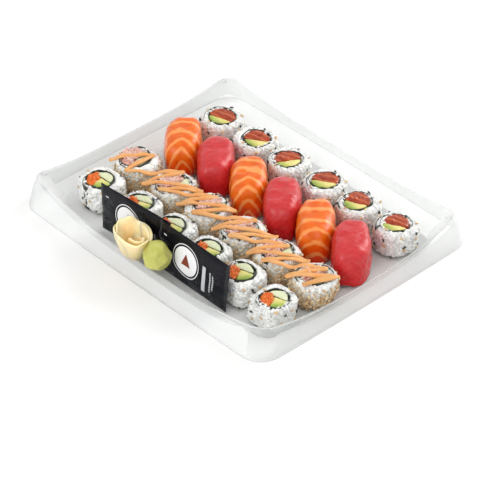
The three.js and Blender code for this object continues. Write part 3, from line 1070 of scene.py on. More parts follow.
def rice_material(color, name="cooked_rice", low=None):
    """Cooked rice: warm white, faintly translucent and moist. With a low colour it deepens to that towards
    the tray."""
    made = bpy.data.materials.get(name)
    if made:
        return made
    deep = tuple(channel * share for channel, share in zip(color, (0.97, 0.97, 0.955)))
    made = food_material(
        name, tuple(color), deep, toned=((0.95, 0.94, 0.91), (0.92, 0.91, 0.875)), grain=420.0,
        roughness=(0.28, 0.48), relief=0.2, depth=0.15, scatter=0.6, scatter_radius=(1.0, 0.96, 0.86),
        coat=0.08,
    )
    # The low colour is painted shade, mixed in below 21 mm.
    if low:
        tree = made.node_tree
        base = tree.nodes["Principled BSDF"].inputs["Base Color"]
        place = add_node(tree, "ShaderNodeTexCoord").outputs["Object"]
        level = add_node(tree, "ShaderNodeSeparateXYZ", Vector=place).outputs["Z"]
        share = add_node(tree, "ShaderNodeMapRange", Value=level, From_Min=9 * MM, From_Max=21 * MM)
        tinted = mix_colors(tree, share.outputs[0], low, base.links[0].from_socket)
        tree.links.new(tinted, base)
    return made


def make_rolls(context, row):
    """Rice cores, rice grains and seaweed of one row."""
    rice = context.scene.sushi_rice
    if row == "crab":
        # The crab rolls' rice turns tan towards the tray: painted shade, warmed by painted light bounced off the
        # sauce.
        material = rice_material(rice.color, "crumbed_rice", (0.76, 0.64, 0.46))
    else:
        material = rice_material(rice.color)
    forms = forms_of(context, row)
    count = round(GRAIN_SHARES[row] * rice.per_roll)
    grains = []
    for form, node in zip(forms, row_nodes(row)):
        seed = 100 * ROWS.index(row) + form["index"]
        core = core_surface(form, seed).marked("tone", 0.3)
        piece(f"{row}_roll_rice_{form['index']}", core, material, [node])
        half = (rice.length / 2, rice.width / 2, rice.width / 2 * 0.86)
        grains.append(on_roll(
            grain_template(), form, count, seed, half, 0.72, lean=0.08, clear=form["ring"] + 1.3 * MM,
        ))
    piece(f"{row}_roll_grains", joined(grains), material)
    seaweed = bpy.data.materials.get("seaweed") or food_material(
        "seaweed", (0.010, 0.016, 0.009), (0.022, 0.030, 0.014), grain=500.0, roughness=(0.3, 0.6),
        relief=0.6,
        depth=0.2,
    )
    bands = joined([seaweed_surface(form, 300 + form["index"]) for form in forms])
    piece(f"{row}_roll_seaweed", bands, seaweed)
    return forms


def scatter_seeds(forms, row, name, count, seed, highest):
    """Sesame seeds of one kind laid on the rice of a row, up to a latitude."""
    color, other = SESAME[name]
    material = bpy.data.materials.get(name) or food_material(
        name, color, color, toned=(other, other), grain=900.0, roughness=(0.3, 0.5), relief=0.15,
        depth=0.08,
    )
    half_sizes = (1.7 * MM, 1.0 * MM, 0.5 * MM)
    seeds = [
        on_roll(
            seed_template(), form, count, seed + form["index"], half_sizes, -0.8, lean=0.3, highest=highest,
            clear=form["ring"] + 1.5 * MM,
        )
        for form in forms
    ]
    piece(f"{row}_roll_{name}", joined(seeds), material)


def avocado_material():
    """Avocado: yellow flesh going green towards the rind side, where the mark "tone" is 1."""
    return bpy.data.materials.get("avocado") or food_material(
        "avocado", (0.78, 0.68, 0.24), (0.70, 0.64, 0.20), toned=((0.20, 0.33, 0.03), (0.34, 0.44, 0.06)),
        grain=160.0,
        roughness=(0.25, 0.4), relief=0.2, depth=0.2, scatter=0.25, scatter_radius=(0.8, 1.0, 0.3),
        coat=0.15,
    )


def cucumber_material():
    """Cucumber: pale watery flesh and, where the mark "tone" is 1, dark green rind."""
    return bpy.data.materials.get("cucumber") or food_material(
        "cucumber", (0.66, 0.70, 0.42), (0.72, 0.74, 0.52),
        toned=((0.012, 0.045, 0.012), (0.03, 0.10, 0.02)),
        grain=240.0, roughness=(0.18, 0.35), relief=0.25, depth=0.2, scatter=0.3,
        scatter_radius=(0.8, 1.0, 0.5),
        coat=0.25,
    )


def edge_tone(surface, low, high):
    """Turns the mark from a share of the outline into a tone that rises near the outline."""
    return surface.marked("tone", smooth_step(low, high, surface.marks["tone"]))


def turned_places(form, points):
    """How far points lie from a filling's middle: to the right and away from the front, as the filling is
    turned."""
    local = points[:, :2] - (form["top"] + form["shift"])[:2]
    turn = form["heading"]
    right = local @ np.array([math.cos(turn), math.sin(turn)])
    into = local @ np.array([-math.sin(turn), math.cos(turn)])
    return right, into


class SUSHI_OT_salmon_rolls(bpy.types.Operator):
    """Makes the back row: rolls of salmon and avocado with sesame outside"""

    bl_idname = "sushi.salmon_rolls"
    bl_label = "Salmon rolls"
    tilts = (-24, -4, 12, -22, -12, -18)

    def execute(self, context):
        forms = make_rolls(context, "salmon")
        fish, green = [], []
        for form in forms:
            draw = np.random.default_rng(40 + form["index"])
            tilt = self.tilts[form["index"] - 1]
            split = -0.22 + draw.normal(0, 0.05)
            upper = plug_surface(
                form, (0.0, 0.38), [(270 + tilt, -split)], 0.9 * MM, form["index"], 3.5 * MM, 0.3 * MM
            )
            across = upper.points @ np.array(
                [math.cos(form["heading"] + 1.1), math.sin(form["heading"] + 1.1), 0.4]
            )
            fish.append(upper.marked("fat_line", across))
            lower = plug_surface(
                form, (0.0, -0.6), [(90 + tilt, split - 0.02)], 0.6 * MM, form["index"] + 9, 5 * MM,
                0.15 * MM
            )
            right, into = turned_places(form, lower.points)
            rind = smooth_step(1 * MM, 11 * MM, -0.9 * right - 0.75 * into - 2 * MM)
            green.append(lower.marked("tone", rind))
        # Flesh, its painted shade towards the tray, and fat.
        salmon = fish_material(
            "roll_salmon", ((0.27, 0.026, 0.004), (0.42, 0.060, 0.011)),
            ((0.25, 0.022, 0.005), (0.36, 0.036, 0.008)),
            (0.66, 0.20, 0.08), 6 * MM, 0.45,
        )
        piece("salmon_roll_fish", joined(fish), salmon)
        piece("salmon_roll_avocado", joined(green), avocado_material())
        scatter_seeds(forms, "salmon", "black_sesame", 16, 500, 1.0)
        scatter_seeds(forms, "salmon", "tan_sesame", 20, 600, 1.0)
        return {"FINISHED"}


def sauce_path(forms):
    """Corners of the sauce's route: a zigzag over the row. Passes towards the back are longer than those
    towards the front, because the hand moves on along the row."""
    draw = np.random.default_rng(11)
    turns = 12
    row_y = np.mean([form["top"][1] for form in forms])
    first, last = forms[0]["top"][0] - 17 * MM, forms[-1]["top"][0] + 2 * MM
    near_x = np.linspace(first, last, turns) + draw.normal(0, 1.4 * MM, turns)
    near_y = row_y - 17 * MM + draw.normal(0, 1.3 * MM, turns)
    reach = np.interp(np.arange(turns), (0, 1.5, turns - 2, turns - 1), (28, 43, 43, 26)) * MM
    far_x = np.minimum(near_x + reach + draw.normal(0, 2.0 * MM, turns), forms[-1]["top"][0] + 14 * MM)
    far_y = row_y + 12 * MM + draw.normal(0, 1.8 * MM, turns)
    corners = np.empty((2 * turns, 2))
    corners[0::2] = np.stack([near_x, near_y], -1)
    corners[1::2] = np.stack([far_x, far_y], -1)
    return corners


def rounded_route(corners, spacing, bend):
    """Points every spacing along a polyline, its corners rounded by averaging over a bend's length."""
    length = np.linalg.norm(np.diff(corners, axis=0), axis=1)
    reach = np.concatenate([[0], np.cumsum(length)])
    place = np.linspace(0, reach[-1], int(reach[-1] / spacing))
    window = np.linspace(-bend, bend, 9)
    weight = np.cos(window / bend * math.pi / 2.2)
    samples = np.clip(place[:, None] + window[None], 0, reach[-1])
    x = np.interp(samples, reach, corners[:, 0])
    y = np.interp(samples, reach, corners[:, 1])
    return np.stack([x @ weight, y @ weight], -1) / weight.sum()


def drape_height(forms, flat, sag):
    """Height of whatever lies on the rolls: their tops, and lower by sag in the gaps between them."""
    tops = np.array([form["top"] for form in forms])
    gap = np.linalg.norm(flat[:, None] - tops[None, :, :2], axis=-1)
    nearest = gap.min(1)
    level = tops[gap.argmin(1), 2]
    return level - sag * smooth_step(forms[0]["radius"] - 3 * MM, forms[0]["radius"] + 4 * MM, nearest)


class SUSHI_OT_crab_rolls(bpy.types.Operator):
    """Makes the crumbed row: shredded crab and cucumber, toasted crumbs outside and stripes of sauce on
    top"""

    bl_idname = "sushi.crab_rolls"
    bl_label = "Crab rolls"

    def execute(self, context):
        forms = make_rolls(context, "crab")
        walls_crab = [(-48, 0.18)]
        walls_cucumber = [(132, -0.2)]
        crab, green, crumbs = [], [], []
        for form in forms:
            bed = plug_surface(
                form, (-0.3, 0.3), walls_crab, -0.3 * MM, form["index"] + 30, 2.0 * MM, 0.4 * MM
            )
            crab.append(bed)
            crab.append(shreds_surface(
                form, (-0.3, 0.3), walls_crab, 90, form["index"] + 50, (3.8 * MM, 0.75 * MM, 0.6 * MM),
                0.9 * MM
            ))
            slice_ = plug_surface(
                form, (0.42, -0.45), walls_cucumber, 0.1 * MM, form["index"] + 60, 4 * MM, 0.1 * MM
            )
            green.append(edge_tone(slice_, 0.84, 0.96))
            crumbs.append(on_roll(
                crumb_template(), form, 210, form["index"] + 800, (1.4 * MM, 1.0 * MM, 0.7 * MM), -0.3,
                spread=0.3,
                lean=0.5, highest=0.72,
            ))
            crumbs.append(on_roll(
                crumb_template(), form, 210, form["index"] + 840, (1.6 * MM, 1.1 * MM, 0.8 * MM), -0.3,
                spread=0.3,
                lean=0.5, highest=0.1, tones=(0.0, 0.6),
            ))
        shreds = food_material(
            "crab_shreds", (0.90, 0.68, 0.58), (0.86, 0.50, 0.42),
            toned=((0.72, 0.16, 0.10), (0.92, 0.74, 0.66)),
            grain=520.0, roughness=(0.3, 0.5), relief=0.3, depth=0.15, scatter=0.3,
            scatter_radius=(1.0, 0.5, 0.4),
        )
        piece("crab_roll_crab", joined(crab), shreds)
        piece("crab_roll_cucumber", joined(green), cucumber_material())
        toasted = food_material(
            "toasted_crumbs", (0.44, 0.22, 0.08), (0.60, 0.38, 0.17),
            toned=((0.80, 0.66, 0.42), (0.88, 0.78, 0.58)),
            grain=500.0, roughness=(0.45, 0.7), relief=0.5, depth=0.25,
        )
        piece("crab_roll_crumbs", joined(crumbs), toasted, smooth=False)
        self.sauce(context, forms)
        return {"FINISHED"}

    def sauce(self, context, forms):
        """Lays the stripes of sauce over the row."""
        settings = context.scene.sushi_sauce
        flat = rounded_route(sauce_path(forms), 1.1 * MM, 2.6 * MM)
        flat += 0.35 * MM * np.stack(
            [ripple(np.pad(flat, ((0, 0), (0, 1))), 11 * MM, seed) for seed in (1, 2)], -1
        )
        level = drape_height(forms, flat, 4.2 * MM)
        level = np.convolve(np.pad(level, 4, mode="edge"), np.full(9, 1 / 9), mode="valid")
        uneven = ripple(np.pad(flat, ((0, 0), (0, 1))), 16 * MM, 9)
        wide = settings.width / 2 * (1 + 0.16 * uneven)
        high = settings.height / 2 * (1 + 0.12 * uneven)
        path = np.concatenate([flat, (level + 0.5 * MM + high)[:, None]], 1)
        stripes = tube(path, wide, high)
        lumps = 0.16 * MM * ripple(stripes.points, 3 * MM, 31) + 0.08 * MM * ripple(
            stripes.points, 1.4 * MM, 32
        )
        stripes.points[:, 2] += lumps
        stripes.points[:, :2] += lumps[:, None] * np.array([0.8, -0.6])
        mayonnaise = food_material(
            "spiced_mayonnaise", tuple(settings.color),
            tuple(c * s for c, s in zip(settings.color, (1.02, 1.2, 1.5))),
            grain=90.0, roughness=(0.25, 0.42), relief=0.2, depth=0.3, scatter=0.2,
            scatter_radius=(1.0, 0.6, 0.3),
            coat=0.15,
        )
        piece("sauce_stripes", stripes, mayonnaise)


class SUSHI_OT_garden_rolls(bpy.types.Operator):
    """Makes the front row: squarish rolls of carrot, cucumber and avocado with sesame outside"""

    bl_idname = "sushi.garden_rolls"
    bl_label = "Garden rolls"

    def execute(self, context):
        forms = make_rolls(context, "garden")
        carrot, green, pale = [], [], []
        walls_carrot = [(330, -0.03), (24, 0.06)]
        walls_cucumber = [(235, -0.24), (200, 0.1)]
        walls_avocado = [(55, 0.2), (160, 0.12)]
        for form in forms:
            form["heading"] += math.radians(4 * (form["index"] - 3.5))
            bed = plug_surface(
                form, (-0.5, 0.1), walls_carrot, 0.2 * MM, form["index"] + 200, 1.8 * MM, 0.4 * MM
            )
            carrot.append(bed.marked("tone", 0.4))
            carrot.append(shreds_surface(
                form, (-0.5, 0.1), walls_carrot, 60, form["index"] + 210, (1.7 * MM, 0.6 * MM, 0.5 * MM),
                0.4 * MM
            ))
            slice_ = plug_surface(
                form, (0.4, 0.55), walls_cucumber, 0.35 * MM, form["index"] + 220, 4 * MM, 0.1 * MM
            )
            green.append(edge_tone(slice_, 0.86, 0.97))
            wedge = plug_surface(
                form, (0.3, -0.42), walls_avocado, 0.5 * MM, form["index"] + 230, 5 * MM, 0.12 * MM
            )
            _, into = turned_places(form, wedge.points)
            pale.append(wedge.marked("tone", smooth_step(2 * MM, 10 * MM, -into)))
        shreds = food_material(
            "carrot_shreds", (0.88, 0.13, 0.006), (0.92, 0.21, 0.015),
            toned=((0.92, 0.28, 0.03), (0.76, 0.07, 0.005)),
            grain=420.0, roughness=(0.25, 0.45), relief=0.3, depth=0.15, scatter=0.3,
            scatter_radius=(1.0, 0.4, 0.15),
            coat=0.15,
        )
        piece("garden_roll_carrot", joined(carrot), shreds)
        piece("garden_roll_cucumber", joined(green), cucumber_material())
        piece("garden_roll_avocado", joined(pale), avocado_material())
        scatter_seeds(forms, "garden", "black_sesame", 11, 700, 1.2)
        scatter_seeds(forms, "garden", "tan_sesame", 18, 760, 1.2)
        return {"FINISHED"}


# Nigiri


def nigiri_form(node):
    """A nigiri's middle, heading and half sizes from its node. It heads towards the front of the tray."""
    points = np.unique(vertices_of(node).round(6), axis=0)
    low, high = points.min(0), points.max(0)
    flat = points[:, :2] - (low + high)[:2] / 2
    long_way = np.linalg.svd(flat, full_matrices=False)[2][0]
    long_way = -long_way if long_way[1] > 0 else long_way
    across = np.array([-long_way[1], long_way[0]])
    return {
        "middle": np.array([*(low + high)[:2] / 2, low[2]]),
        "long": np.array([*long_way, 0.0]),
        "across": np.array([*across, 0.0]),
        "half_length": np.abs(flat @ long_way).max(),
        "half_width": np.abs(flat @ across).max(),
        "height": high[2] - low[2],
    }


def dome_grid(form, grow, level, angle):
    """Rings of an oval, squarer at the two corners that no neighbour touches: grow is the share of the full
    plan, level the height over the base."""
    reach = grow * square_circle(angle, 3.0 - 0.85 * np.sin(2 * angle))
    x = 1.02 * form["half_length"] * reach * np.cos(angle)
    y = 1.08 * form["half_width"] * reach * np.sin(angle)
    return (
        form["middle"]
        + x[..., None] * form["long"]
        + y[..., None] * form["across"]
        + (level + 0 * x)[..., None] * np.array([0, 0, 1.0])
    )


def slice_surface(form, thickness, chevron, seed, phase):
    """A slice of fish draped over the rice: a squarish dome from its top down to a hem that is lowest at
    the front end and highest at the back, a rounded hem, and the same dome back up inside. The mark
    fat_line is the distance along the slice less chevron times the distance across it."""
    around, down = 112, 36
    angle = np.arange(around) / around * TAU
    hem = 4.2 * MM - 2.6 * MM * np.cos(angle) + 0.9 * MM * np.sin(3 * angle + phase) + 0.5 * MM * np.sin(
        7 * angle + seed
    )
    hem = np.maximum(hem, 1.2 * MM) + 3.5 * MM * smooth_step(-0.55, -1.0, np.cos(angle))
    slope = np.linspace(0.02, 1, down)[:, None] ** 0.9 * (math.pi / 2)
    share = square_circle(slope, SLICE_SQUARENESS)
    grow = np.clip(np.sin(slope) * share, 0, 1)
    fall = np.clip(np.cos(slope) * share, 0, 1)
    height = form["height"] * fall
    keep = np.maximum(height, hem[None])
    outer = dome_grid(form, grow - 0.02 * smooth_step(0.35, 0.0, fall), keep, angle[None])
    waves = 0.35 * MM * ripple(outer, 15 * MM, seed) + 0.16 * MM * ripple(outer, 6 * MM, seed + 5)
    outer = outer + normals_of(outer, True) * waves[..., None] * (fall > 0)[..., None]
    inset = 1 - thickness / form["half_width"]
    hem_mid = dome_grid(form, np.full((1, 1), 0.93), hem[None] - 0.8 * MM, angle[None])
    rise = np.array([0.0, 0.35, 0.7, 0.9, 1.0])[:, None]
    inner_grow = inset * np.sqrt(np.clip(1 - (0.98 * rise) ** 4, 0, 1)) + 0.02
    inner_level = hem[None] + (form["height"] - thickness - hem[None]) * rise
    inner = dome_grid(form, inner_grow, inner_level, angle[None])
    surface = closed(np.concatenate([outer, hem_mid, inner]))
    length = np.linalg.norm(np.diff(outer, axis=0, prepend=outer[:1]), axis=-1)
    reach = np.cumsum(length, 0)
    along = reach * np.cos(angle)
    across = np.abs(reach * np.sin(angle) + 2 * MM)
    line = along - chevron * np.sqrt(across**2 + (2 * MM) ** 2) + phase * MM
    rows = len(hem_mid) + len(inner)
    line = np.concatenate([line, np.repeat(line[-1:], rows, 0)]).ravel()
    line = np.concatenate([line, [line[:around].mean(), 0]])
    return surface.marked("fat_line", line)


def rice_block_surface(form, seed):
    """The rice under a slice: a squarish dome, a little smaller, with grain-sized lumps."""
    around, down = 84, 24
    angle = np.arange(around)[None] / around * TAU
    slope = np.linspace(0.05, math.pi / 2, down)[:, None]
    share = square_circle(slope, 4.0)
    grid = dome_grid(
        form, 0.84 * np.sin(slope) * share, (form["height"] - 4 * MM) * np.cos(slope) * share, angle
    )
    base = dome_grid(form, np.array([[0.8], [0.4]]), np.array([[0.0], [0.0]]), angle)
    grid = grid + normals_of(grid, True) * (0.5 * MM * ripple(grid, 3.6 * MM, seed))[..., None]
    grid[-1, :, 2] = form["middle"][2] + 0.5 * MM
    return closed(np.concatenate([grid, base])).marked("tone", 0.3)


def block_grains(form, rice, count, seed):
    """Grains round the foot of the rice block, where the slice leaves it bare."""
    draw = np.random.default_rng(seed)
    angle = np.arange(count) * GOLDEN * TAU
    back = 0.5 - 0.5 * np.cos(angle)
    level = draw.uniform(1.2, 12.5, count) * MM * (0.35 + 0.65 * back) + 0.4 * MM
    step = 1e-3
    here = dome_grid(form, np.full(count, 0.865), level, angle)
    tangent = dome_grid(form, np.full(count, 0.865), level, angle + step) - here
    tangent /= np.linalg.norm(tangent, axis=1, keepdims=True)
    normal = np.cross(tangent, np.array([0, 0, 1.0]))
    axes = turned_axes(normal, tangent, draw.uniform(0, TAU, count))
    half = np.array([rice.length / 2, rice.width / 2, rice.width / 2 * 0.86])
    sizes = half * (1 + draw.normal(0, 0.1, (count, 3)))
    return copies(grain_template(), here, axes, sizes, draw.uniform(0, 1, count)).above(
        form["middle"][2] + 0.1 * MM
    )


class SUSHI_OT_nigiri(bpy.types.Operator):
    """Makes the nigiri: rice blocks under slices of salmon and tuna in turn"""

    bl_idname = "sushi.nigiri"
    bl_label = "Nigiri"

    def execute(self, context):
        fish = context.scene.sushi_fish
        rice = context.scene.sushi_rice
        rice_look = rice_material(rice.color)
        # Each fish: flesh, its painted shade towards the tray, and fat.
        salmon = fish_material(
            "salmon_slice", ((0.70, 0.105, 0.001), (0.78, 0.145, 0.002)),
            ((0.84, 0.026, 0.001), (0.88, 0.050, 0.002)),
            (0.92, 0.38, 0.115), fish.fat_spacing, 0.78,
        )
        tuna = fish_material(
            "tuna_slice", ((0.52, 0.022, 0.026), (0.58, 0.034, 0.038)),
            ((0.60, 0.0, 0.002), (0.66, 0.001, 0.003)),
            (0.76, 0.10, 0.11), 5 * MM, 0.12,
        )
        chevrons = {"salmon": (0.42, 0.3, 0.05), "tuna": (0.2, 0.1, 0.15)}
        grains = []
        for kind, look in (("salmon", salmon), ("tuna", tuna)):
            for index in range(3):
                node = f"nigiri_{kind}_{index + 1}"
                form = nigiri_form(node)
                seed = index + (10 if kind == "salmon" else 20)
                surface = slice_surface(form, fish.thickness, chevrons[kind][index], seed, 1.7 * index)
                piece(f"{kind}_slice_{index + 1}", surface, look, [node])
                block = rice_block_surface(form, seed)
                piece(f"{kind}_nigiri_rice_{index + 1}", block, rice_look)
                grains.append(block_grains(form, rice, 120, seed))
        piece("nigiri_grains", joined(grains), rice_look)
        return {"FINISHED"}


# Garnish


def sachet_surface(node, settings, seed):
    """A filled sachet: thickness (1 - |u| cubed)(1 - |v| to the fourth) to the power 0.7 over the oblong,
    with creases that run in from the ends and fine ribs on the crimped ends. u and v run from -1 to 1."""
    middle, directions = axes_of(node)
    long_way = directions[0] * np.sign(directions[0][0])
    across = directions[1] * np.sign(directions[1][2])
    outward = np.cross(long_way, across)
    columns, rows = 112, 60
    u = np.linspace(-1, 1, columns)[None] + np.zeros((rows, 1))
    v = np.linspace(-1, 1, rows)[:, None] + np.zeros((1, columns))
    full = ((1 - np.abs(u) ** 3) * (1 - np.abs(v) ** 4)).clip(0, 1) ** 0.7
    flat = np.stack([u * 2, v, 0 * u], -1)
    crease = 0.45 * MM * ripple(flat * np.array([0.35, 1.6, 1]), 0.9, seed) * smooth_step(
        0.3, 0.95, np.abs(u)
    )
    dent = 0.5 * MM * ripple(flat, 1.4, seed + 3) * full
    ribs = 0.12 * MM * np.sin(v * settings.width / 2 / (1.1 * MM) * math.pi) * smooth_step(
        0.9, 0.93, np.abs(u)
    )
    bow = 0.5 * MM * (1 - v**2) * np.sin(u * 2.2)
    x = (u * settings.length / 2)[..., None] * long_way
    y = (v * settings.width / 2)[..., None] * across

    def film(face):
        height = face * (0.2 * MM + settings.bulge * full * 0.9) + crease * (1 - np.abs(v) ** 6) + dent + ribs
        return middle + x + y + (height + bow)[..., None] * outward

    surface = two_faced(film(1), film(-1))
    length_mm, width_mm = settings.length / MM / 2, settings.width / MM / 2
    printed = np.stack([u * length_mm, v * width_mm], -1)
    both = np.concatenate([printed, printed[:, ::-1]], 1).reshape(-1, 2)
    return surface.marked("print", both)


class SUSHI_OT_sachets(bpy.types.Operator):
    """Makes the two soy sachets"""

    bl_idname = "sushi.sachets"
    bl_label = "Soy sachets"

    def execute(self, context):
        settings = context.scene.sushi_sachet
        film = film_material(settings.color)
        for index in (1, 2):
            surface = sachet_surface(f"soy_sachet_{index}", settings, 60 + index)
            piece(f"soy_sachet_{index}_film", surface, film, [f"soy_sachet_{index}"])
        return {"FINISHED"}


def petal_surface(centre, petal, seed, thickness=2.3 * MM, squash=0.66):
    """One slice of ginger wrapped part way round a cup. Its profile starts at a radius and runs up for a
    length, turning from one slope to another, so that its upper edge flares or curls over; length, radius
    and the last slope waver round it, and rise makes it taller at the back. The plan is squashed across the
    tray."""
    rows, columns = 20, 56
    s = np.linspace(0, 1, rows)[:, None]
    t = np.linspace(0, 1, columns)[None]
    draw = np.random.default_rng(seed)
    phase = draw.uniform(0, TAU, 4)
    angle = math.radians(petal["start"]) + math.radians(petal["sweep"]) * t
    wave = 0.6 * np.sin(angle * 3 + phase[0]) + 0.3 * np.sin(angle * 5 + phase[1]) + 0.1 * np.sin(
        angle * 9 + phase[2]
    )
    ends = 1 - 0.3 * np.abs(2 * t - 1) ** 4
    taller = 1 + petal["rise"] * np.cos(angle - math.radians(137))
    slope = math.radians(petal["low"]) + (math.radians(petal["high"] - petal["low"]) + 0.22 * wave) * s**1.8
    step = petal["length"] * MM * ends * taller * (1 + 0.06 * wave) / (rows - 1)
    radius = petal["radius"] * MM * (1 - 0.16 * t) + np.cumsum(np.cos(slope) * step, 0)
    level = np.cumsum(np.sin(slope) * step, 0) + 0.4 * MM * np.sin(angle * 7 + phase[3]) * s
    x = centre[0] + petal["x"] * MM + radius * np.cos(angle)
    y = centre[1] + petal["y"] * MM + squash * radius * np.sin(angle)
    z = centre[2] + petal["z"] * MM + level
    surface = thick_sheet(np.stack([x, y, z], -1), thickness, 0.3, 5.0)
    height = np.concatenate([s + 0 * t, (s + 0 * t)[:, ::-1]], 1).ravel()
    return surface.marked("tone", height)


class SUSHI_OT_garnish(bpy.types.Operator):
    """Makes the pickled ginger and the wasabi"""

    bl_idname = "sushi.garnish"
    bl_label = "Ginger and wasabi"

    def execute(self, context):
        low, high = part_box("pickled_ginger")
        foot = np.array([(low.x + high.x) / 2, (low.y + high.y) / 2, low.z])
        keys = ("x", "y", "z", "start", "sweep", "radius", "length", "rise", "low", "high")
        petals = [
            (0, 0, 0, -75, 350, 6, 25, 0.14, 62, 72),
            (-2, 0, 0, 150, 150, 7, 24, 0.0, 60, 78),
            (1, 0, 1, -150, 190, 7, 26, 0.0, 66, 58),
            (2, 0, 2, 20, 190, 8, 26, 0.04, 70, 64),
            (3, 0, 9, -110, 170, 4, 15, 0.0, 70, 66),
            (-2, 0, 7, 0, 345, 2, 14, 0.0, 30, 86),
        ]
        slices = [
            petal_surface(foot, dict(zip(keys, petal)), index) for index, petal in enumerate(petals)
        ]
        ginger = food_material(
            "pickled_ginger", (0.86, 0.50, 0.15), (0.90, 0.62, 0.26),
            toned=((0.94, 0.76, 0.42), (0.95, 0.80, 0.50)),
            grain=110.0, roughness=(0.2, 0.38), relief=0.3, depth=0.3, scatter=0.55,
            scatter_radius=(1.0, 0.65, 0.3),
            coat=0.3, cells=0.1,
        )
        piece("ginger_slices", joined(slices), ginger, ["pickled_ginger"])
        self.wasabi()
        return {"FINISHED"}

    def wasabi(self):
        """A pressed ball: a sphere cut back softly by a few flat presses, with shallow dents and a
        crack."""
        low, high = (np.array(corner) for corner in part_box("wasabi"))
        middle, radius = (low + high) / 2, (high - low).min() / 2
        rings, around = 70, 128
        polar = np.linspace(0.02, math.pi - 0.02, rings)[:, None]
        angle = np.arange(around)[None] / around * TAU
        way = np.stack(
            [np.sin(polar) * np.cos(angle), np.sin(polar) * np.sin(angle), np.cos(polar) + 0 * angle], -1
        )
        draw = np.random.default_rng(21)
        presses = draw.normal(size=(12, 3))
        presses /= np.linalg.norm(presses, axis=1, keepdims=True)
        depth = draw.uniform(0.82, 0.93, 12)
        cut = depth / np.maximum(way @ presses.T, 1e-3)
        spans = np.concatenate([np.ones((rings, around, 1)), np.where(way @ presses.T > 0.2, cut, 9.0)], -1)
        reach = (spans**-34.0).sum(-1) ** (-1 / 34.0)
        dents = 0.012 * ripple(way, 0.5, 3) + 0.008 * ripple(way, 0.2, 4)
        crack = np.abs(way @ np.array([0.5, 0.3, -0.55]) + 0.05 * ripple(way, 0.6, 8))
        notch = 0.035 * np.exp(-((crack / 0.02) ** 2)) * smooth_step(
            0.3, 0.9, way @ np.array([0.75, -0.6, 0.2])
        )
        surface = closed(middle + radius * (reach + dents - notch)[..., None] * way)
        paste = food_material(
            "wasabi_paste", (0.45, 0.45, 0.085), (0.53, 0.52, 0.13), grain=160.0, roughness=(0.38, 0.55),
            relief=0.35,
            depth=0.25, scatter=0.25, scatter_radius=(0.7, 1.0, 0.3), coat=0.05,
        )
        piece("wasabi_ball", surface, paste, ["wasabi"])


# Stage


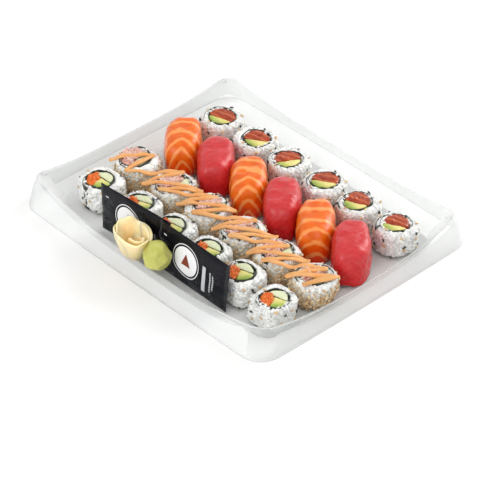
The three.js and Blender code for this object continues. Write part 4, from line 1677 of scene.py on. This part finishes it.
class SUSHI_OT_stage(bpy.types.Operator):
    """Makes the pale floor, the soft light and the camera"""

    bl_idname = "sushi.stage"
    bl_label = "Stage"

    def execute(self, context):
        scene = context.scene
        settings = scene.sushi_stage
        self.floor()
        world = bpy.data.worlds.new("soft_room")
        world.use_nodes = True
        world.node_tree.nodes["Background"].inputs["Color"].default_value = (1.0, 1.0, 1.0, 1)
        world.node_tree.nodes["Background"].inputs["Strength"].default_value = 0.80
        scene.world = world
        scene.view_settings.view_transform = "Standard"
        self.softbox("key", Vector((0.19, 1.2, 0.72)), 0.95, 13.0)
        self.softbox("front", Vector((0.3, -1.4, 0.9)), 1.2, 12.0)
        camera = bpy.data.cameras.new("camera")
        camera.lens = settings.lens
        camera.sensor_width = 36
        camera.clip_end = 20
        holder = bpy.data.objects.new("camera", camera)
        target = Vector(settings.target)
        level = settings.distance * math.cos(settings.elevation)
        offset = Vector((
            level * math.sin(settings.azimuth),
            -level * math.cos(settings.azimuth),
            settings.distance * math.sin(settings.elevation),
        ))
        holder.location = target + offset
        holder.rotation_euler = offset.to_track_quat("Z", "Y").to_euler()
        scene.collection.objects.link(holder)
        scene.camera = holder
        return {"FINISHED"}

    def softbox(self, name, place, size, power):
        """A square area light that faces the tray."""
        light = bpy.data.lights.new(name, "AREA")
        light.size = size
        light.energy = power
        holder = bpy.data.objects.new(name, light)
        holder.location = place
        holder.rotation_euler = place.to_track_quat("Z", "Y").to_euler()
        bpy.context.scene.collection.objects.link(holder)

    def floor(self):
        """A wide pale table top just under the tray."""
        half = 6.0
        steps = np.linspace(-half, half, 5)
        x, y = np.meshgrid(steps, steps, indexing="ij")
        points = np.stack([x, y, 0 * x - 0.05 * MM], -1).reshape(-1, 3)
        index = np.arange(25).reshape(5, 5)
        quads = np.stack([index[:-1, :-1], index[1:, :-1], index[1:, 1:], index[:-1, 1:]], -1).reshape(
            -1, 4
        )
        mesh = bpy.data.meshes.new("table")
        mesh.from_pydata(points.tolist(), [], quads.tolist())
        table = bpy.data.objects.new("table", mesh)
        material, tree, shader, place = new_material("pale_table")
        color = use_group(
            tree, "Mottle", Vector=place, Scale=3.0, First=(0.90, 0.90, 0.895), Second=(0.915, 0.915, 0.91)
        )
        tree.links.new(color.outputs["Color"], shader.inputs["Base Color"])
        shader.inputs["Roughness"].default_value = 0.9
        mesh.materials.append(material)
        bpy.context.scene.collection.objects.link(table)


# The add-on


SETTINGS = {
    "sushi_tray": TraySettings,
    "sushi_rice": RiceSettings,
    "sushi_filling": FillingSettings,
    "sushi_sauce": SauceSettings,
    "sushi_fish": FishSettings,
    "sushi_sachet": SachetSettings,
    "sushi_stage": StageSettings,
}
OPERATORS = (
    SUSHI_OT_tray,
    SUSHI_OT_salmon_rolls,
    SUSHI_OT_crab_rolls,
    SUSHI_OT_garden_rolls,
    SUSHI_OT_nigiri,
    SUSHI_OT_sachets,
    SUSHI_OT_garnish,
    SUSHI_OT_stage,
)


class SUSHI_PT_panel(bpy.types.Panel):
    """Lists the pieces and their settings"""

    bl_idname = "SUSHI_PT_panel"
    bl_label = "Sushi tray"
    bl_space_type = "VIEW_3D"
    bl_region_type = "UI"
    bl_category = "Sushi tray"

    def draw(self, context):
        for operator in OPERATORS:
            self.layout.operator(operator.bl_idname)
        for name, group in SETTINGS.items():
            column = self.layout.column(heading=group.__doc__)
            for key in group.__annotations__:
                column.prop(getattr(context.scene, name), key)


def register():
    for group in SETTINGS.values():
        bpy.utils.register_class(group)
    for name, group in SETTINGS.items():
        setattr(bpy.types.Scene, name, bpy.props.PointerProperty(type=group))
    for shown in (*OPERATORS, SUSHI_PT_panel):
        bpy.utils.register_class(shown)


def unregister():
    for shown in (SUSHI_PT_panel, *reversed(OPERATORS)):
        bpy.utils.unregister_class(shown)
    for name in SETTINGS:
        delattr(bpy.types.Scene, name)
    for group in reversed(list(SETTINGS.values())):
        bpy.utils.unregister_class(group)


def main():
    register()
    bpy.ops.sushi.stage()
    bpy.ops.sushi.tray()
    bpy.ops.sushi.salmon_rolls()
    bpy.ops.sushi.crab_rolls()
    bpy.ops.sushi.garden_rolls()
    bpy.ops.sushi.nigiri()
    bpy.ops.sushi.sachets()
    bpy.ops.sushi.garnish()


if __name__ == "__main__":
    main()
